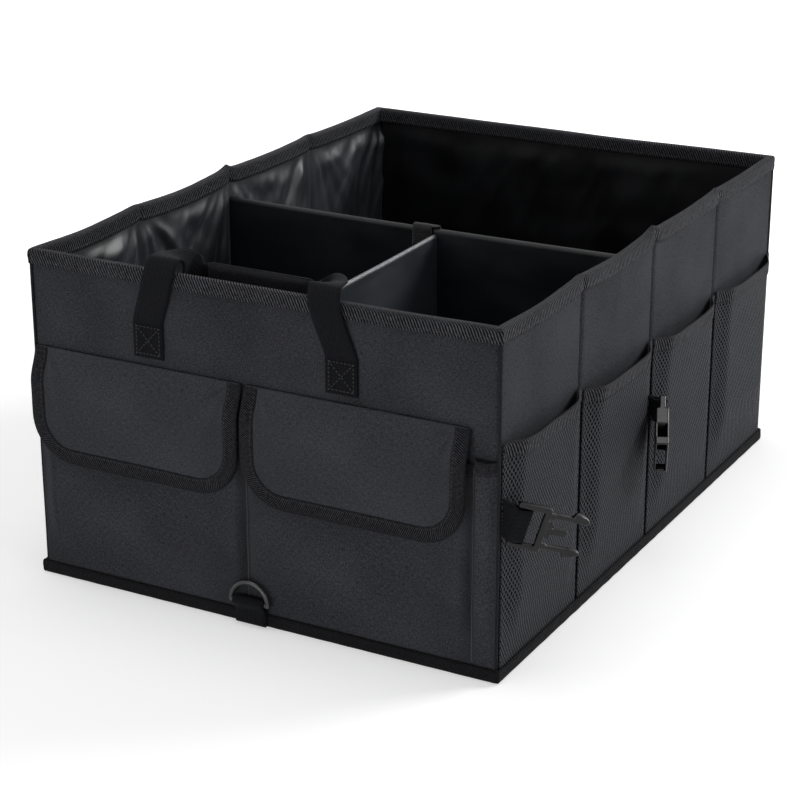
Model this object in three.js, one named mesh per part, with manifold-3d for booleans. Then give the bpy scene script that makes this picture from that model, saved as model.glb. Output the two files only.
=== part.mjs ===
// A folding cloth organizer for a car trunk: an open box of black cloth with stiff boards in its walls,
// three compartments, two flap pockets and a pen pocket on the front, and mesh pockets on the sides.
// Millimetres, +Z up. The origin is the middle of the underside, +X is right and +Y is to the rear.

import * as THREE from 'three';
import { mergeVertices } from 'three/addons/utils/BufferGeometryUtils.js';
import Module from 'manifold-3d';

const wasm = await Module();
wasm.setup();

// Overall size over the bindings
const width = 380;
const length = 516;
const height = 254;

// Cloths, boards and tapes
const gap = 0.3;
const outerCloth = 0.9;
const liningCloth = 0.6;
const wallBoard = 2.4;
const tape = 1.2;
const rimTapeHeight = 11;
const liningTapeHeight = 12;
const bottomTapeHeight = 10;
const bottomTapeThickness = 1.8;
const tapeCornerRadius = 2.5;

// Folds of the long walls
const panelsPerSide = 4;
const foldHalfWidth = 4;
const foldFloorHalfWidth = 1;
const boardTopMargin = 6;
const boardBottomMargin = 2;

// Base boards and dividers
const baseBoard = 3.5;
const baseBoardSideGap = 0.8;
const dividerThickness = 3.6;
const crossDividerTop = 232;
const longDividerTop = 227;
const longDividerX = 6.5;
const dividerTabFrom = -12.6;
const dividerTabTo = 8.6;
const dividerTabCloth = 1;
const dividerTabDrop = 16;

// Front pockets and their flaps
const pocketCloth = 0.8;
const pocketDepth = 5.5;
const pocketMouth = 157;
const pocketFloor = 12;
const pocketSlope = 50;
const pocketGusset = 13;
const pocketSeamEase = 8;
const leftPocketFrom = -187;
const pocketSeamX = -8;
const rightPocketTo = 170;
const penPocketTo = 187.5;
const penPocketMouth = 161;
const penPocketEase = 4;
const easeSteps = [0, 0.3, 0.65, 1];
const flapTop = 182;
const flapBottom = 97;
const flapSlope = 17;
const flapCloth = 1;
const flapCorner = 34;
const flapSideGap = 2;
const flapTapeWidth = 11;
const flapTapeProud = 0.8;
const leftFlapFrom = -187;
const rightFlapTo = 168;
const patchWidth = 50;
const patchHeight = 20;
const patchThickness = 0.7;
const patchAboveHem = 6;

// Mesh pockets of the long sides, front to rear
const meshTops = [174, 170, 169, 171];
const meshCloth = 0.8;
const meshDepth = 6.5;
const meshSlope = 55;
const meshEase = 22;
const meshTape = 0.5;
const meshTapeHeight = 11;
const meshSag = 3;
const meshEndGap = 2.5;

// Carrying handles
const webbing = 25;
const webbingThickness = 1.4;
const handleCentreX = -8.5;
const handleHalfSpan = 78.5;
const handlePatchBelowRim = 40;
const handlePatchHeight = 26;
const handlePatchEnd = 4;
const handleLean = 12;
const handleRise = 8;
const handleSteps = 80;
const handleStrands = 6;
const gripLength = 84;
const gripHeight = 28;
const gripThickness = 6;
const gripWall = 1.2;
const gripCorner = 2;
const gripLeadIn = 4;
const frontGripInset = 24;
const frontGripBelowRim = 10.5;
const rearGripOutset = 17;
const rearGripBelowRim = 47;

// Bends of the front handle beside the rim: along the wall and below the top of the rim
const rimBends = [[-4, 16], [0, 2]];

// Bends of the front handle inside the box: along the wall, behind the lining and below the crest,
// each with the strap's width direction there
const insideBends = [
  [[2, -2.2, 0], [1, 0, 0]],
  [[4.5, 7.5, 1], [0.9, -0.4, -0.1]],
  [[10.5, 15.5, 7.5], [0.11, -0.79, -0.6]],
  [[15, 18, 14.5], [-0.12, -0.4, -0.91]],
];

// Bends of the rear handle: along the wall, share of the grip's stand-off, above the sewn patch, twist
const rearBends = [[3, 0.33, 13, 0], [8, 0.8, 11, 8.5], [18, 1, 0, 41]];

// Tie-down rings
const ringX = -4.5;
const ringWire = 3.6;
const ringWidth = 34;
const ringPlay = 0.4;
const ringTabThickness = 1.4;
const ringBarZ = 19;
const ringTabFoot = 0.8;
const ringSteps = 18;
const wireSides = 5;
const loopSides = 12;

// Straps and side-release buckles of the long sides
const cornerStrapZ = 119;
const middleStrapZ = 114;
const strapThickness = 1.3;
const buckleBar = 4;
const barPlay = 0.4;
const buckleWidth = 34;
const buckleRail = 3.5;
const buckleFrameThickness = 5;
const maleFrameLength = 21;
const maleCrossbar = 4.5;
const maleLength = 48;
const malePinWidth = 4.6;
const malePinLength = 15;
const malePinThickness = 3;
const maleArmWidth = 3;
const maleHookLength = 11;
const maleHookStep = 3.4;
const maleHookFillet = 2;
const maleHookFullness = 0.6;
const maleHookRoot = 3;
const maleBarX = 10.8;
const maleBarY = 3;
const maleOutwardAngle = 34;
const maleDroopAngle = 15;
const maleRollAngle = 9;
const femaleFrameLength = 10;
const femaleLength = 45;
const femaleThickness = 10;
const femaleCorner = 2.5;
const femaleWall = 1.6;
const femaleWindowLength = 13;
const femaleWindowHeight = 6;
const femaleWindowFromMouth = 7;
const femaleBarX = 11;
const femaleOutwardAngle = 67;
const femaleDroopAngle = 30;
const femaleStrapClear = 0.5;

// Places worked out from the sizes above
const faceX = width / 2 - tape - gap;
const faceY = length / 2 - tape - gap;
const wallDepth = outerCloth + gap + wallBoard + gap + liningCloth;
const innerX = faceX - wallDepth;
const innerY = faceY - wallDepth;
const wallTop = height - tape - gap;
const wallFoot = outerCloth + gap;
const panelLength = length / panelsPerSide;
const folds = Array.from({ length: panelsPerSide - 1 }, (_, i) => (i + 1) * panelLength - length / 2);
const foldDip = (wallBoard + gap) / 2;
const baseTop = wallFoot + baseBoard;
const pocketLayer = gap + Math.max(pocketCloth, meshCloth) + gap;
const flapTapeReach = flapTapeProud + gap;
const flapRoot = gap + flapTapeReach;
const handlePatchTop = height - handlePatchBelowRim;
const handlePatchBottom = handlePatchTop - handlePatchHeight;
const frontGripZ = height - frontGripBelowRim;
const rearGripZ = height - rearGripBelowRim;
const flapStandOff = gap + pocketDepth + pocketCloth + patchThickness + gap + patchThickness + gap;

// Finishes
const cloth = new THREE.MeshStandardMaterial({ color: 0x1d1e21, roughness: 0.9, metalness: 0 });
const sheen = new THREE.MeshStandardMaterial({ color: 0x141518, roughness: 0.35, metalness: 0 });
const trim = new THREE.MeshStandardMaterial({ color: 0x232428, roughness: 0.85, metalness: 0 });
const net = new THREE.MeshStandardMaterial({ color: 0x191a1d, roughness: 0.8, metalness: 0 });
const board = new THREE.MeshStandardMaterial({ color: 0x3a3b3d, roughness: 0.7, metalness: 0 });
const plastic = new THREE.MeshStandardMaterial({ color: 0x0c0c0e, roughness: 0.25, metalness: 0 });

const organizer = new THREE.Group();
organizer.name = 'trunk_organizer';

// Shapes

function addPiece(name, geometry, material, parent = organizer) {
  const mesh = new THREE.Mesh(geometry, material);
  mesh.name = name;
  parent.add(mesh);
  return mesh;
}

function toSolid(geometry) {
  const bare = geometry.clone();
  bare.deleteAttribute('normal');
  bare.deleteAttribute('uv');
  const merged = mergeVertices(bare, 1e-4);
  return new wasm.Manifold(new wasm.Mesh({
    numProp: 3,
    vertProperties: new Float32Array(merged.attributes.position.array),
    triVerts: new Uint32Array(merged.index.array),
  }));
}

function toGeometry(solid) {
  const mesh = solid.getMesh();
  const geometry = new THREE.BufferGeometry();
  geometry.setAttribute('position', new THREE.BufferAttribute(new Float32Array(mesh.vertProperties), 3));
  geometry.setIndex(new THREE.BufferAttribute(new Uint32Array(mesh.triVerts), 1));
  geometry.computeVertexNormals();
  return geometry;
}

function join(...geometries) {
  return toGeometry(geometries.map(toSolid).reduce((a, b) => a.add(b)));
}

function cut(geometry, ...tools) {
  return toGeometry(tools.map(toSolid).reduce((a, b) => a.subtract(b), toSolid(geometry)));
}

function common(a, b) {
  return toGeometry(toSolid(a).intersect(toSolid(b)));
}

function block(x0, x1, y0, y1, z0, z1) {
  const geometry = new THREE.BoxGeometry(x1 - x0, y1 - y0, z1 - z0);
  return geometry.translate((x0 + x1) / 2, (y0 + y1) / 2, (z0 + z1) / 2);
}

// A plan outline raised from z0 to z1
function upright(shape, z0, z1) {
  const depth = z1 - z0;
  const geometry = new THREE.ExtrudeGeometry(shape, { depth, bevelEnabled: false, curveSegments: 4 });
  return geometry.translate(0, 0, z0);
}

// A front outline, drawn in x and z, given depth from y0 to y1
function facing(shape, y0, y1) {
  const depth = y1 - y0;
  const geometry = new THREE.ExtrudeGeometry(shape, { depth, bevelEnabled: false, curveSegments: 8 });
  return geometry.rotateX(Math.PI / 2).translate(0, y1, 0);
}

// A side outline, drawn in y and z, run from x0 to x1
function sideways(points, x0, x1) {
  const shape = new THREE.Shape(points.map(([y, z]) => new THREE.Vector2(y, z)));
  const geometry = new THREE.ExtrudeGeometry(shape, { depth: x1 - x0, bevelEnabled: false });
  return geometry.rotateX(Math.PI / 2).rotateZ(Math.PI / 2).translate(x0, 0, 0);
}

function roundedRectangle(halfX, halfY, radius) {
  const shape = new THREE.Shape();
  shape.moveTo(halfX, radius - halfY);
  shape.lineTo(halfX, halfY - radius);
  shape.absarc(halfX - radius, halfY - radius, radius, 0, Math.PI / 2);
  shape.absarc(radius - halfX, halfY - radius, radius, Math.PI / 2, Math.PI);
  shape.absarc(radius - halfX, radius - halfY, radius, Math.PI, 1.5 * Math.PI);
  shape.absarc(halfX - radius, radius - halfY, radius, 1.5 * Math.PI, 2 * Math.PI);
  return shape;
}

// A rectangular hoop seen from above
function hoop(outerHalfX, outerHalfY, thickness, z0, z1) {
  const shape = roundedRectangle(outerHalfX, outerHalfY, tapeCornerRadius);
  const inner = roundedRectangle(outerHalfX - thickness, outerHalfY - thickness, gap);
  shape.holes.push(inner);
  return upright(shape, z0, z1);
}

function smooth(t) {
  const s = THREE.MathUtils.clamp(t, 0, 1);
  return s * s * (3 - 2 * s);
}

// A thin sheet on a wall: us and zs are its grid, and place turns (u, outward, z) into a point,
// where outward runs from 0 on its inner face to 1 on its outer face
function sheet(us, zs, place) {
  const geometry = new THREE.BoxGeometry(1, 1, 1, us.length - 1, 1, zs.length - 1);
  const position = geometry.attributes.position;
  for (let i = 0; i < position.count; i += 1) {
    const u = us[Math.round((position.getX(i) + 0.5) * (us.length - 1))];
    const z = zs[Math.round((position.getZ(i) + 0.5) * (zs.length - 1))];
    const point = place(u, 0.5 - position.getY(i), z);
    position.setXYZ(i, point.x, point.y, point.z);
  }
  geometry.computeVertexNormals();
  return geometry;
}

// A flat strap along a smooth path: centres are points on it, acrosses its width direction at each point
function strap(centres, acrosses, strapWidth, thickness, strands, steps) {
  const path = new THREE.CatmullRomCurve3(centres, false, 'centripetal');
  const turning = new THREE.CatmullRomCurve3(acrosses, false, 'centripetal');
  const geometry = new THREE.BoxGeometry(strapWidth, thickness, 1, strands, 1, steps);
  const position = geometry.attributes.position;
  for (let i = 0; i < position.count; i += 1) {
    const t = Math.round((position.getZ(i) + 0.5) * steps) / steps;
    const across = turning.getPoint(t).normalize();
    const normal = new THREE.Vector3().crossVectors(path.getTangent(t), across).normalize();
    const point = path.getPoint(t);
    point.addScaledVector(across, position.getX(i)).addScaledVector(normal, position.getY(i));
    position.setXYZ(i, point.x, point.y, point.z);
  }
  geometry.computeVertexNormals();
  return geometry;
}

// A round bar along a curve, with twice as many sides as asked for
function rod(curve, radius, steps, sides) {
  const section = new THREE.Shape();
  section.absarc(0, 0, radius, 0, 2 * Math.PI);
  return new THREE.ExtrudeGeometry(section, {
    steps, curveSegments: sides, bevelEnabled: false, extrudePath: curve,
  });
}

// The bow of a tie-down ring, from one end of its bar over to the other
class RingBow extends THREE.Curve {
  constructor(radius) {
    super();
    this.radius = radius;
  }

  getPoint(t, target = new THREE.Vector3()) {
    const angle = Math.PI * (1 - t);
    return target.set(this.radius * Math.cos(angle), 0, this.radius * Math.sin(angle));
  }
}

// Walls, each drawn as a front wall: x runs along it, y = 0 is its outer face and the inside is +y

function wallGroup(turn, distance) {
  const group = new THREE.Group();
  group.rotation.z = turn;
  group.position.set(Math.sin(turn) * distance, -Math.cos(turn) * distance, 0);
  organizer.add(group);
  return group;
}

const front = wallGroup(0, faceY);
const right = wallGroup(Math.PI / 2, faceX);
const rear = wallGroup(Math.PI, faceY);
const left = wallGroup(-Math.PI / 2, faceX);

// One cloth layer of a long wall, pinched to the middle of the wall at each fold
function foldedLayer(halfLength, y0, thickness, dip) {
  const edge = [[-halfLength, 0]];
  for (const fold of folds) {
    edge.push([fold - foldHalfWidth, 0], [fold - foldFloorHalfWidth, dip]);
    edge.push([fold + foldFloorHalfWidth, dip], [fold + foldHalfWidth, 0]);
  }
  edge.push([halfLength, 0]);
  const near = edge.map(([x, y]) => new THREE.Vector2(x, y0 + y));
  const far = edge.map(([x, y]) => new THREE.Vector2(x, y0 + y + thickness)).reverse();
  return upright(new THREE.Shape([...near, ...far]), wallFoot, wallTop);
}

const boardFrom = outerCloth + gap;
const liningFrom = boardFrom + wallBoard + gap;
const boardFoot = wallFoot + boardBottomMargin;
const boardHead = wallTop - boardTopMargin;

function addEndWall(name, wall) {
  const inner = innerX + liningCloth;
  addPiece(`${name}_cloth`, block(-faceX, faceX, 0, outerCloth, wallFoot, wallTop), cloth, wall);
  const boardShape = block(-inner, inner, boardFrom, boardFrom + wallBoard, boardFoot, boardHead);
  addPiece(`${name}_board`, boardShape, board, wall);
  const liningShape = block(-inner, inner, liningFrom, liningFrom + liningCloth, wallFoot, wallTop);
  addPiece(`${name}_lining`, liningShape, sheen, wall);
}

function addLongWall(name, wall) {
  const clothHalf = faceY - outerCloth - gap;
  addPiece(`${name}_cloth`, foldedLayer(clothHalf, 0, outerCloth, foldDip), cloth, wall);
  addPiece(`${name}_lining`, foldedLayer(innerY - gap, liningFrom, liningCloth, -foldDip), sheen, wall);
  const ends = [-clothHalf - foldHalfWidth, ...folds, clothHalf + foldHalfWidth];
  for (let i = 0; i < panelsPerSide; i += 1) {
    const from = ends[i] + foldHalfWidth;
    const to = ends[i + 1] - foldHalfWidth;
    const number = wall === left ? panelsPerSide - i : i + 1;
    const panel = block(from, to, boardFrom, boardFrom + wallBoard, boardFoot, boardHead);
    addPiece(`${name}_board_${number}`, panel, board, wall);
  }
}

addEndWall('front', front);
addEndWall('rear', rear);
addLongWall('right', right);
addLongWall('left', left);

// Floor, base boards and dividers

addPiece('floor_cloth', block(-faceX, faceX, -faceY, faceY, 0, outerCloth), cloth);

const baseHalf = innerX - baseBoardSideGap;
const dividerHalf = dividerThickness / 2;
const baseFrom = dividerHalf + baseBoardSideGap;
const baseTo = innerY - baseBoardSideGap;
addPiece('front_base_board', block(-baseHalf, baseHalf, -baseTo, -baseFrom, wallFoot, baseTop), sheen);
addPiece('rear_base_board', block(-baseHalf, baseHalf, baseFrom, baseTo, wallFoot, baseTop), sheen);

const dividerReach = innerX - gap;
const crossDivider = block(
  -dividerReach, dividerReach, -dividerHalf, dividerHalf, wallFoot, crossDividerTop,
);
addPiece('cross_divider', crossDivider, sheen);
const longDividerFrom = longDividerX - dividerHalf;
const longDividerTo = longDividerX + dividerHalf;
addPiece('long_divider', block(
  longDividerFrom, longDividerTo, gap - innerY, -dividerHalf - gap, baseTop + gap, longDividerTop,
), sheen);

const tabInside = dividerHalf + gap;
const tabOutside = tabInside + dividerTabCloth;
const tabRoof = crossDividerTop + gap;
const tabFoot = crossDividerTop - dividerTabDrop;
addPiece('divider_tab', join(
  block(dividerTabFrom, dividerTabTo, -tabOutside, tabOutside, tabRoof, tabRoof + dividerTabCloth),
  block(dividerTabFrom, dividerTabTo, tabInside, tabOutside, tabFoot, tabRoof + dividerTabCloth),
  block(dividerTabFrom, longDividerFrom - gap, -tabOutside, -tabInside, tabFoot, tabRoof + dividerTabCloth),
), trim);

// Bindings of the rim and of the bottom edge

const rimOuterX = faceX + gap + tape;
const rimOuterY = faceY + gap + tape;
const rimWidth = wallDepth + 2 * (gap + tape);
addPiece('rim_binding', join(
  hoop(rimOuterX, rimOuterY, rimWidth, height - tape, height),
  hoop(rimOuterX, rimOuterY, tape, height - rimTapeHeight, height),
  hoop(innerX - gap, innerY - gap, tape, height - liningTapeHeight, height),
), trim);

const bottomOuterX = faceX + pocketLayer + bottomTapeThickness;
const bottomOuterY = faceY + pocketLayer + bottomTapeThickness;
addPiece('bottom_binding', hoop(bottomOuterX, bottomOuterY, bottomTapeThickness, 0, bottomTapeHeight), trim);

// Pockets: sheets sewn down at both sides and at the foot, and standing off the wall between

// The grid line values of a sheet: close together where it eases away from its seams
function eased(from, to, easeFrom, easeTo) {
  const head = easeSteps.map((step) => from + step * easeFrom);
  const tail = easeSteps.map((step) => to - step * easeTo).reverse();
  return [...head, (from + to + easeFrom - easeTo) / 2, ...tail];
}

function pocketSheet({ from, to, mouth, easeFrom, easeTo, depth, slope, inner, outer, bottom, sag }) {
  const rise = (u) => smooth((u - from) / easeFrom) * smooth((to - u) / easeTo);
  const us = eased(from, to, easeFrom, easeTo);
  const slopeLevels = easeSteps.map((step) => pocketFloor + step * slope);
  const zs = [...slopeLevels.filter((z) => z > bottom && z < mouth), mouth];
  return sheet(us, [bottom, ...zs], (u, outward, z) => {
    const off = gap + depth * rise(u) * smooth((z - pocketFloor) / slope);
    const y = -(off + THREE.MathUtils.lerp(inner, outer, outward));
    return new THREE.Vector3(u, y, z - sag * rise(u) * (z / mouth));
  });
}

function frontPocket(from, to, mouth, easeFrom, easeTo) {
  return pocketSheet({
    from, to, mouth, easeFrom, easeTo, depth: pocketDepth, slope: pocketSlope,
    inner: 0, outer: pocketCloth, bottom: wallFoot, sag: 0,
  });
}

// The soft half of the closure, sewn on the pocket's face with its back let into the cloth
const patchFoot = flapBottom + flapTapeWidth + patchAboveHem;
const pocketFace = -(gap + pocketDepth + pocketCloth);

function loopPatch(centre) {
  const half = patchWidth / 2;
  const back = pocketFace + pocketCloth / 2;
  const patchTop = patchFoot + patchHeight;
  return block(centre - half, centre + half, pocketFace - patchThickness, back, patchFoot, patchTop);
}

const leftPocketTo = pocketSeamX - gap;
const rightPocketFrom = pocketSeamX + gap;
const leftPocket = frontPocket(leftPocketFrom, leftPocketTo, pocketMouth, pocketGusset, pocketSeamEase);
const rightPocket = frontPocket(rightPocketFrom, rightPocketTo, pocketMouth, pocketSeamEase, pocketSeamEase);
const leftFlapTo = pocketSeamX - flapSideGap;
const rightFlapFrom = pocketSeamX;
const leftFlapCentre = (leftFlapFrom + leftFlapTo) / 2;
const rightFlapCentre = (rightFlapFrom + rightFlapTo) / 2;
addPiece('left_pocket', join(leftPocket, loopPatch(leftFlapCentre)), cloth, front);
addPiece('right_pocket', join(rightPocket, loopPatch(rightFlapCentre)), cloth, front);
const penPocketFrom = rightPocketTo + 2 * gap;
addPiece('pen_pocket', frontPocket(
  penPocketFrom, penPocketTo, penPocketMouth, penPocketEase, penPocketEase,
), cloth, front);

// Flaps: the top edge is sewn to the wall, then the cloth slopes out over the pocket's mouth and hangs

function flapBand(inner, outer, x0, x1) {
  const bend = flapTop - flapSlope;
  return sideways([
    [-(flapRoot + inner), flapTop], [-(flapStandOff + inner), bend], [-(flapStandOff + inner), 0],
    [-(flapStandOff + outer), 0], [-(flapStandOff + outer), bend], [-(flapRoot + outer), flapTop],
  ], x0, x1);
}

function flapOutline(x0, x1, inset) {
  const radius = flapCorner - inset;
  const foot = flapBottom + inset;
  const top = flapTop + gap;
  const reach = 2 * (flapStandOff + flapCloth + flapTapeReach);
  const shape = new THREE.Shape();
  shape.moveTo(x0 + inset, top);
  shape.lineTo(x0 + inset, foot + radius);
  shape.absarc(x0 + flapCorner, foot + radius, radius, Math.PI, 1.5 * Math.PI);
  shape.absarc(x1 - flapCorner, foot + radius, radius, 1.5 * Math.PI, 2 * Math.PI);
  shape.lineTo(x1 - inset, top);
  return facing(shape, -reach, reach);
}

function addFlap(name, x0, x1) {
  const outline = (inset) => flapOutline(x0, x1, inset);
  const clothShape = common(flapBand(0, flapCloth, x0, x1), outline(flapTapeReach));
  addPiece(`${name}_flap`, clothShape, cloth, front);
  const tapeShape = cut(
    common(flapBand(-flapTapeReach, flapCloth + flapTapeReach, x0, x1), outline(0)),
    outline(flapTapeWidth),
    common(flapBand(-gap, flapCloth + gap, x0, x1), outline(flapTapeProud)),
  );
  addPiece(`${name}_flap_binding`, tapeShape, trim, front);
  const centre = (x0 + x1) / 2;
  const hookBack = -(flapStandOff - gap);
  addPiece(`${name}_flap_hook_patch`, block(
    centre - patchWidth / 2, centre + patchWidth / 2, hookBack, hookBack + patchThickness,
    patchFoot, patchFoot + patchHeight,
  ), trim, front);
}

addFlap('left', leftFlapFrom, leftFlapTo);
addFlap('right', rightFlapFrom, rightFlapTo);

// Mesh pockets of the long sides, each with a tape along its mouth

function addMeshPockets(name, wall) {
  const ends = [-faceY, ...folds, faceY];
  meshTops.forEach((mouth, i) => {
    const slot = wall === left ? panelsPerSide - 1 - i : i;
    const layout = {
      from: ends[slot] + meshEndGap, to: ends[slot + 1] - meshEndGap, mouth,
      easeFrom: meshEase, easeTo: meshEase, depth: meshDepth, slope: meshSlope, sag: meshSag,
    };
    const netShape = pocketSheet({ ...layout, inner: 0, outer: meshCloth, bottom: wallFoot });
    const tapeShape = pocketSheet({
      ...layout, inner: -gap / 2, outer: meshCloth + meshTape, bottom: mouth - meshTapeHeight,
    });
    addPiece(`${name}_mesh_pocket_${i + 1}`, join(netShape, tapeShape), net, wall);
  });
}

addMeshPockets('right', right);
addMeshPockets('left', left);

// Carrying handles: webbing sewn to the wall at both ends, with a padded grip round its middle.
// A half of the path runs from the sewn end to the grip and the other half is its mirror image.

function handlePath(half, gripY, gripZ, gripAcross) {
  const stops = [...half];
  for (const x of [gripLength / 2 + gripLeadIn, gripLength / 2, gripLength / 6]) {
    stops.push([[-x, gripY, gripZ], gripAcross]);
  }
  const centres = stops.map(([point]) => new THREE.Vector3(...point));
  const acrosses = stops.map(([, across]) => new THREE.Vector3(...across));
  const mirrored = (v) => new THREE.Vector3(-v.x, v.y, v.z);
  return [
    [...centres, ...centres.map(mirrored).reverse()],
    [...acrosses, ...acrosses.map(mirrored).reverse()],
  ];
}

function addHandle(name, wall, rise, gripY, gripZ, gripAcross) {
  const group = new THREE.Group();
  group.position.x = wall === front ? handleCentreX : -handleCentreX;
  wall.add(group);
  const sewnY = -(gap + webbingThickness / 2);
  const sewnLevels = [handlePatchBottom, handlePatchTop - handlePatchEnd, handlePatchTop];
  const sewn = sewnLevels.map((z) => [[-handleHalfSpan, sewnY, z], twisted(0)]);
  const [centres, acrosses] = handlePath([...sewn, ...rise], gripY, gripZ, gripAcross);
  const band = strap(centres, acrosses, webbing, webbingThickness, handleStrands, handleSteps);
  addPiece(`${name}_handle`, band, trim, group);
  const sleeve = roundedRectangle(gripThickness / 2, gripHeight / 2, gripCorner);
  const hollow = gripCorner - gripWall;
  sleeve.holes.push(roundedRectangle(gripThickness / 2 - gripWall, gripHeight / 2 - gripWall, hollow));
  const gripShape = upright(sleeve, -gripLength / 2, gripLength / 2);
  gripShape.rotateX(Math.PI / 2).rotateZ(Math.PI / 2).translate(0, gripY, gripZ);
  addPiece(`${name}_handle_grip`, gripShape, cloth, group);
}

// The front handle is flopped over the rim into the box, and the rear one hangs outside
function twisted(degrees) {
  const angle = THREE.MathUtils.degToRad(degrees);
  return [Math.cos(angle), 0, Math.sin(angle)];
}

const crest = height + handleRise;
const besideRim = -(2 * gap + tape + webbingThickness);
const leanX = handleHalfSpan - handleLean;
addHandle('front', front, [
  ...rimBends.map(([along, below]) => [[along - leanX, besideRim, height - below], twisted(0)]),
  ...insideBends.map(([[along, behind, below], across]) => (
    [[along - leanX, wallDepth + behind, crest - below], across]
  )),
], frontGripInset, frontGripZ, twisted(-90));
addHandle('rear', rear, rearBends.map(([along, share, above, twist]) => (
  [[along - handleHalfSpan, -share * rearGripOutset, handlePatchTop + above], twisted(twist)]
)), -rearGripOutset, rearGripZ, twisted(90));

// Tie-down rings: a wire ring whose straight bar turns in a loop of webbing on the bottom binding

function addTieRing(name, wall, x) {
  const group = new THREE.Group();
  const loopInner = ringWire / 2 + ringPlay;
  const loopOuter = loopInner + ringTabThickness;
  const tabBack = -(pocketLayer + bottomTapeThickness + gap);
  group.position.set(x, tabBack - loopOuter, ringBarZ);
  wall.add(group);
  const half = webbing / 2;
  const bar = (reach, barRadius, sides) => {
    const line = new THREE.LineCurve3(new THREE.Vector3(-reach, 0, 0), new THREE.Vector3(reach, 0, 0));
    return rod(line, barRadius, 1, sides);
  };
  const foot = ringTabFoot - ringBarZ;
  const tab = join(
    bar(half, loopOuter, loopSides),
    block(-half, half, loopOuter - 2 * ringTabThickness, loopOuter, foot, 0),
  );
  addPiece(`${name}_ring_tab`, cut(tab, bar(webbing, loopInner, loopSides)), trim, group);
  const radius = (ringWidth - ringWire) / 2;
  const wire = ringWire / 2;
  const ball = new THREE.SphereGeometry(wire, 2 * wireSides, 2 * wireSides);
  addPiece(`${name}_tie_ring`, join(
    rod(new RingBow(radius), wire, ringSteps, wireSides), bar(radius, wire, wireSides),
    ball.clone().translate(-radius, 0, 0), ball.translate(radius, 0, 0),
  ), plastic, group);
}

// Straps and buckles. In a buckle's own frame X points from its bar to its tip and Z runs along the bar.

// The frame whose X leaves the wall, turned towards the rear and drooping, and rolled about its own length
function buckleFrame(point, outward, droop, roll) {
  const matrix = new THREE.Matrix4().makeTranslation(...point);
  matrix.multiply(new THREE.Matrix4().makeRotationZ(THREE.MathUtils.degToRad(outward - 90)));
  matrix.multiply(new THREE.Matrix4().makeRotationY(THREE.MathUtils.degToRad(droop)));
  matrix.multiply(new THREE.Matrix4().makeRotationX(THREE.MathUtils.degToRad(roll)));
  return matrix;
}

const barEnd = (z) => new THREE.Vector3(0, 0, z);
const barLine = (half) => new THREE.LineCurve3(barEnd(-half), barEnd(half));

// Webbing from the wall, folded round the buckle's bar and ending where the wall is
function strapLoop(matrix, direction, out, stop) {
  const half = webbing / 2;
  const inner = buckleBar / 2 + barPlay;
  const outer = inner + strapThickness;
  const tail = block(-2 * out, 0, -strapThickness, strapThickness, -half, half);
  tail.rotateZ(THREE.MathUtils.degToRad(direction));
  const turn = rod(barLine(half), outer, 1, loopSides);
  const loop = cut(join(turn, tail), rod(barLine(webbing), inner, 1, loopSides));
  loop.applyMatrix4(matrix);
  return cut(loop, block(-length, length, stop, length, 0, height));
}

function buckleTail(frameLength) {
  const rail = (side) => {
    const z = side * (buckleWidth - buckleRail) / 2;
    const y = buckleFrameThickness / 2;
    return block(-buckleBar / 2, frameLength, -y, y, z - buckleRail / 2, z + buckleRail / 2);
  };
  return [rail(-1), rail(1), rod(barLine(buckleWidth / 2 - gap), buckleBar / 2, 1, wireSides)];
}

function maleArm(side) {
  const outer = buckleWidth / 2;
  const root = maleFrameLength - gap;
  const hook = maleLength - maleHookLength;
  const face = outer - maleHookStep;
  const shape = new THREE.Shape();
  shape.moveTo(root, face);
  shape.lineTo(hook - maleHookFillet, face);
  shape.quadraticCurveTo(hook, face, hook, outer);
  shape.quadraticCurveTo(hook + maleHookLength * maleHookFullness, outer, maleLength, face);
  shape.quadraticCurveTo(maleLength, face - maleArmWidth, hook + maleHookRoot, face - maleArmWidth);
  shape.lineTo(root, face - maleArmWidth);
  const y = buckleFrameThickness / 2 - gap;
  const arm = facing(shape, -y, y);
  return side > 0 ? arm : arm.rotateX(Math.PI);
}

function maleBuckle() {
  const half = buckleWidth / 2;
  const y = buckleFrameThickness / 2;
  const pinEnd = maleFrameLength + malePinLength;
  const pinY = malePinThickness / 2;
  const pinZ = malePinWidth / 2;
  return join(
    ...buckleTail(maleFrameLength),
    block(maleFrameLength - maleCrossbar, maleFrameLength, -y, y, gap - half, half - gap),
    block(maleFrameLength - gap, pinEnd, -pinY, pinY, -pinZ, pinZ),
    maleArm(1), maleArm(-1),
  );
}

function femaleBuckle() {
  const half = buckleWidth / 2;
  const y = femaleThickness / 2;
  const middle = (femaleFrameLength + femaleLength) / 2;
  const body = roundedRectangle((femaleLength - femaleFrameLength) / 2, half, femaleCorner);
  const bodyShape = facing(body, -y, y).translate(middle, 0, 0);
  const hollowY = y - femaleWall;
  const hollowZ = half - femaleWall;
  const cavity = block(
    femaleFrameLength + femaleWall, femaleLength + gap, -hollowY, hollowY, -hollowZ, hollowZ,
  );
  const windowTo = femaleLength - femaleWindowFromMouth;
  const windowY = femaleWindowHeight / 2;
  const windowFrom = windowTo - femaleWindowLength;
  const windows = block(windowFrom, windowTo, -windowY, windowY, -buckleWidth, buckleWidth);
  return join(cut(bodyShape, cavity, windows), ...buckleTail(femaleFrameLength + gap));
}

function addBuckle(name, kind, wall, { u, out, z, outward, droop, roll, shape, stop }) {
  const matrix = buckleFrame([u, -out, z], outward, droop, roll);
  addPiece(`${name}_strap`, strapLoop(matrix, -outward, out, stop), trim, wall);
  addPiece(`${name}_${kind}_buckle`, shape.applyMatrix4(matrix), plastic, wall);
}

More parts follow.
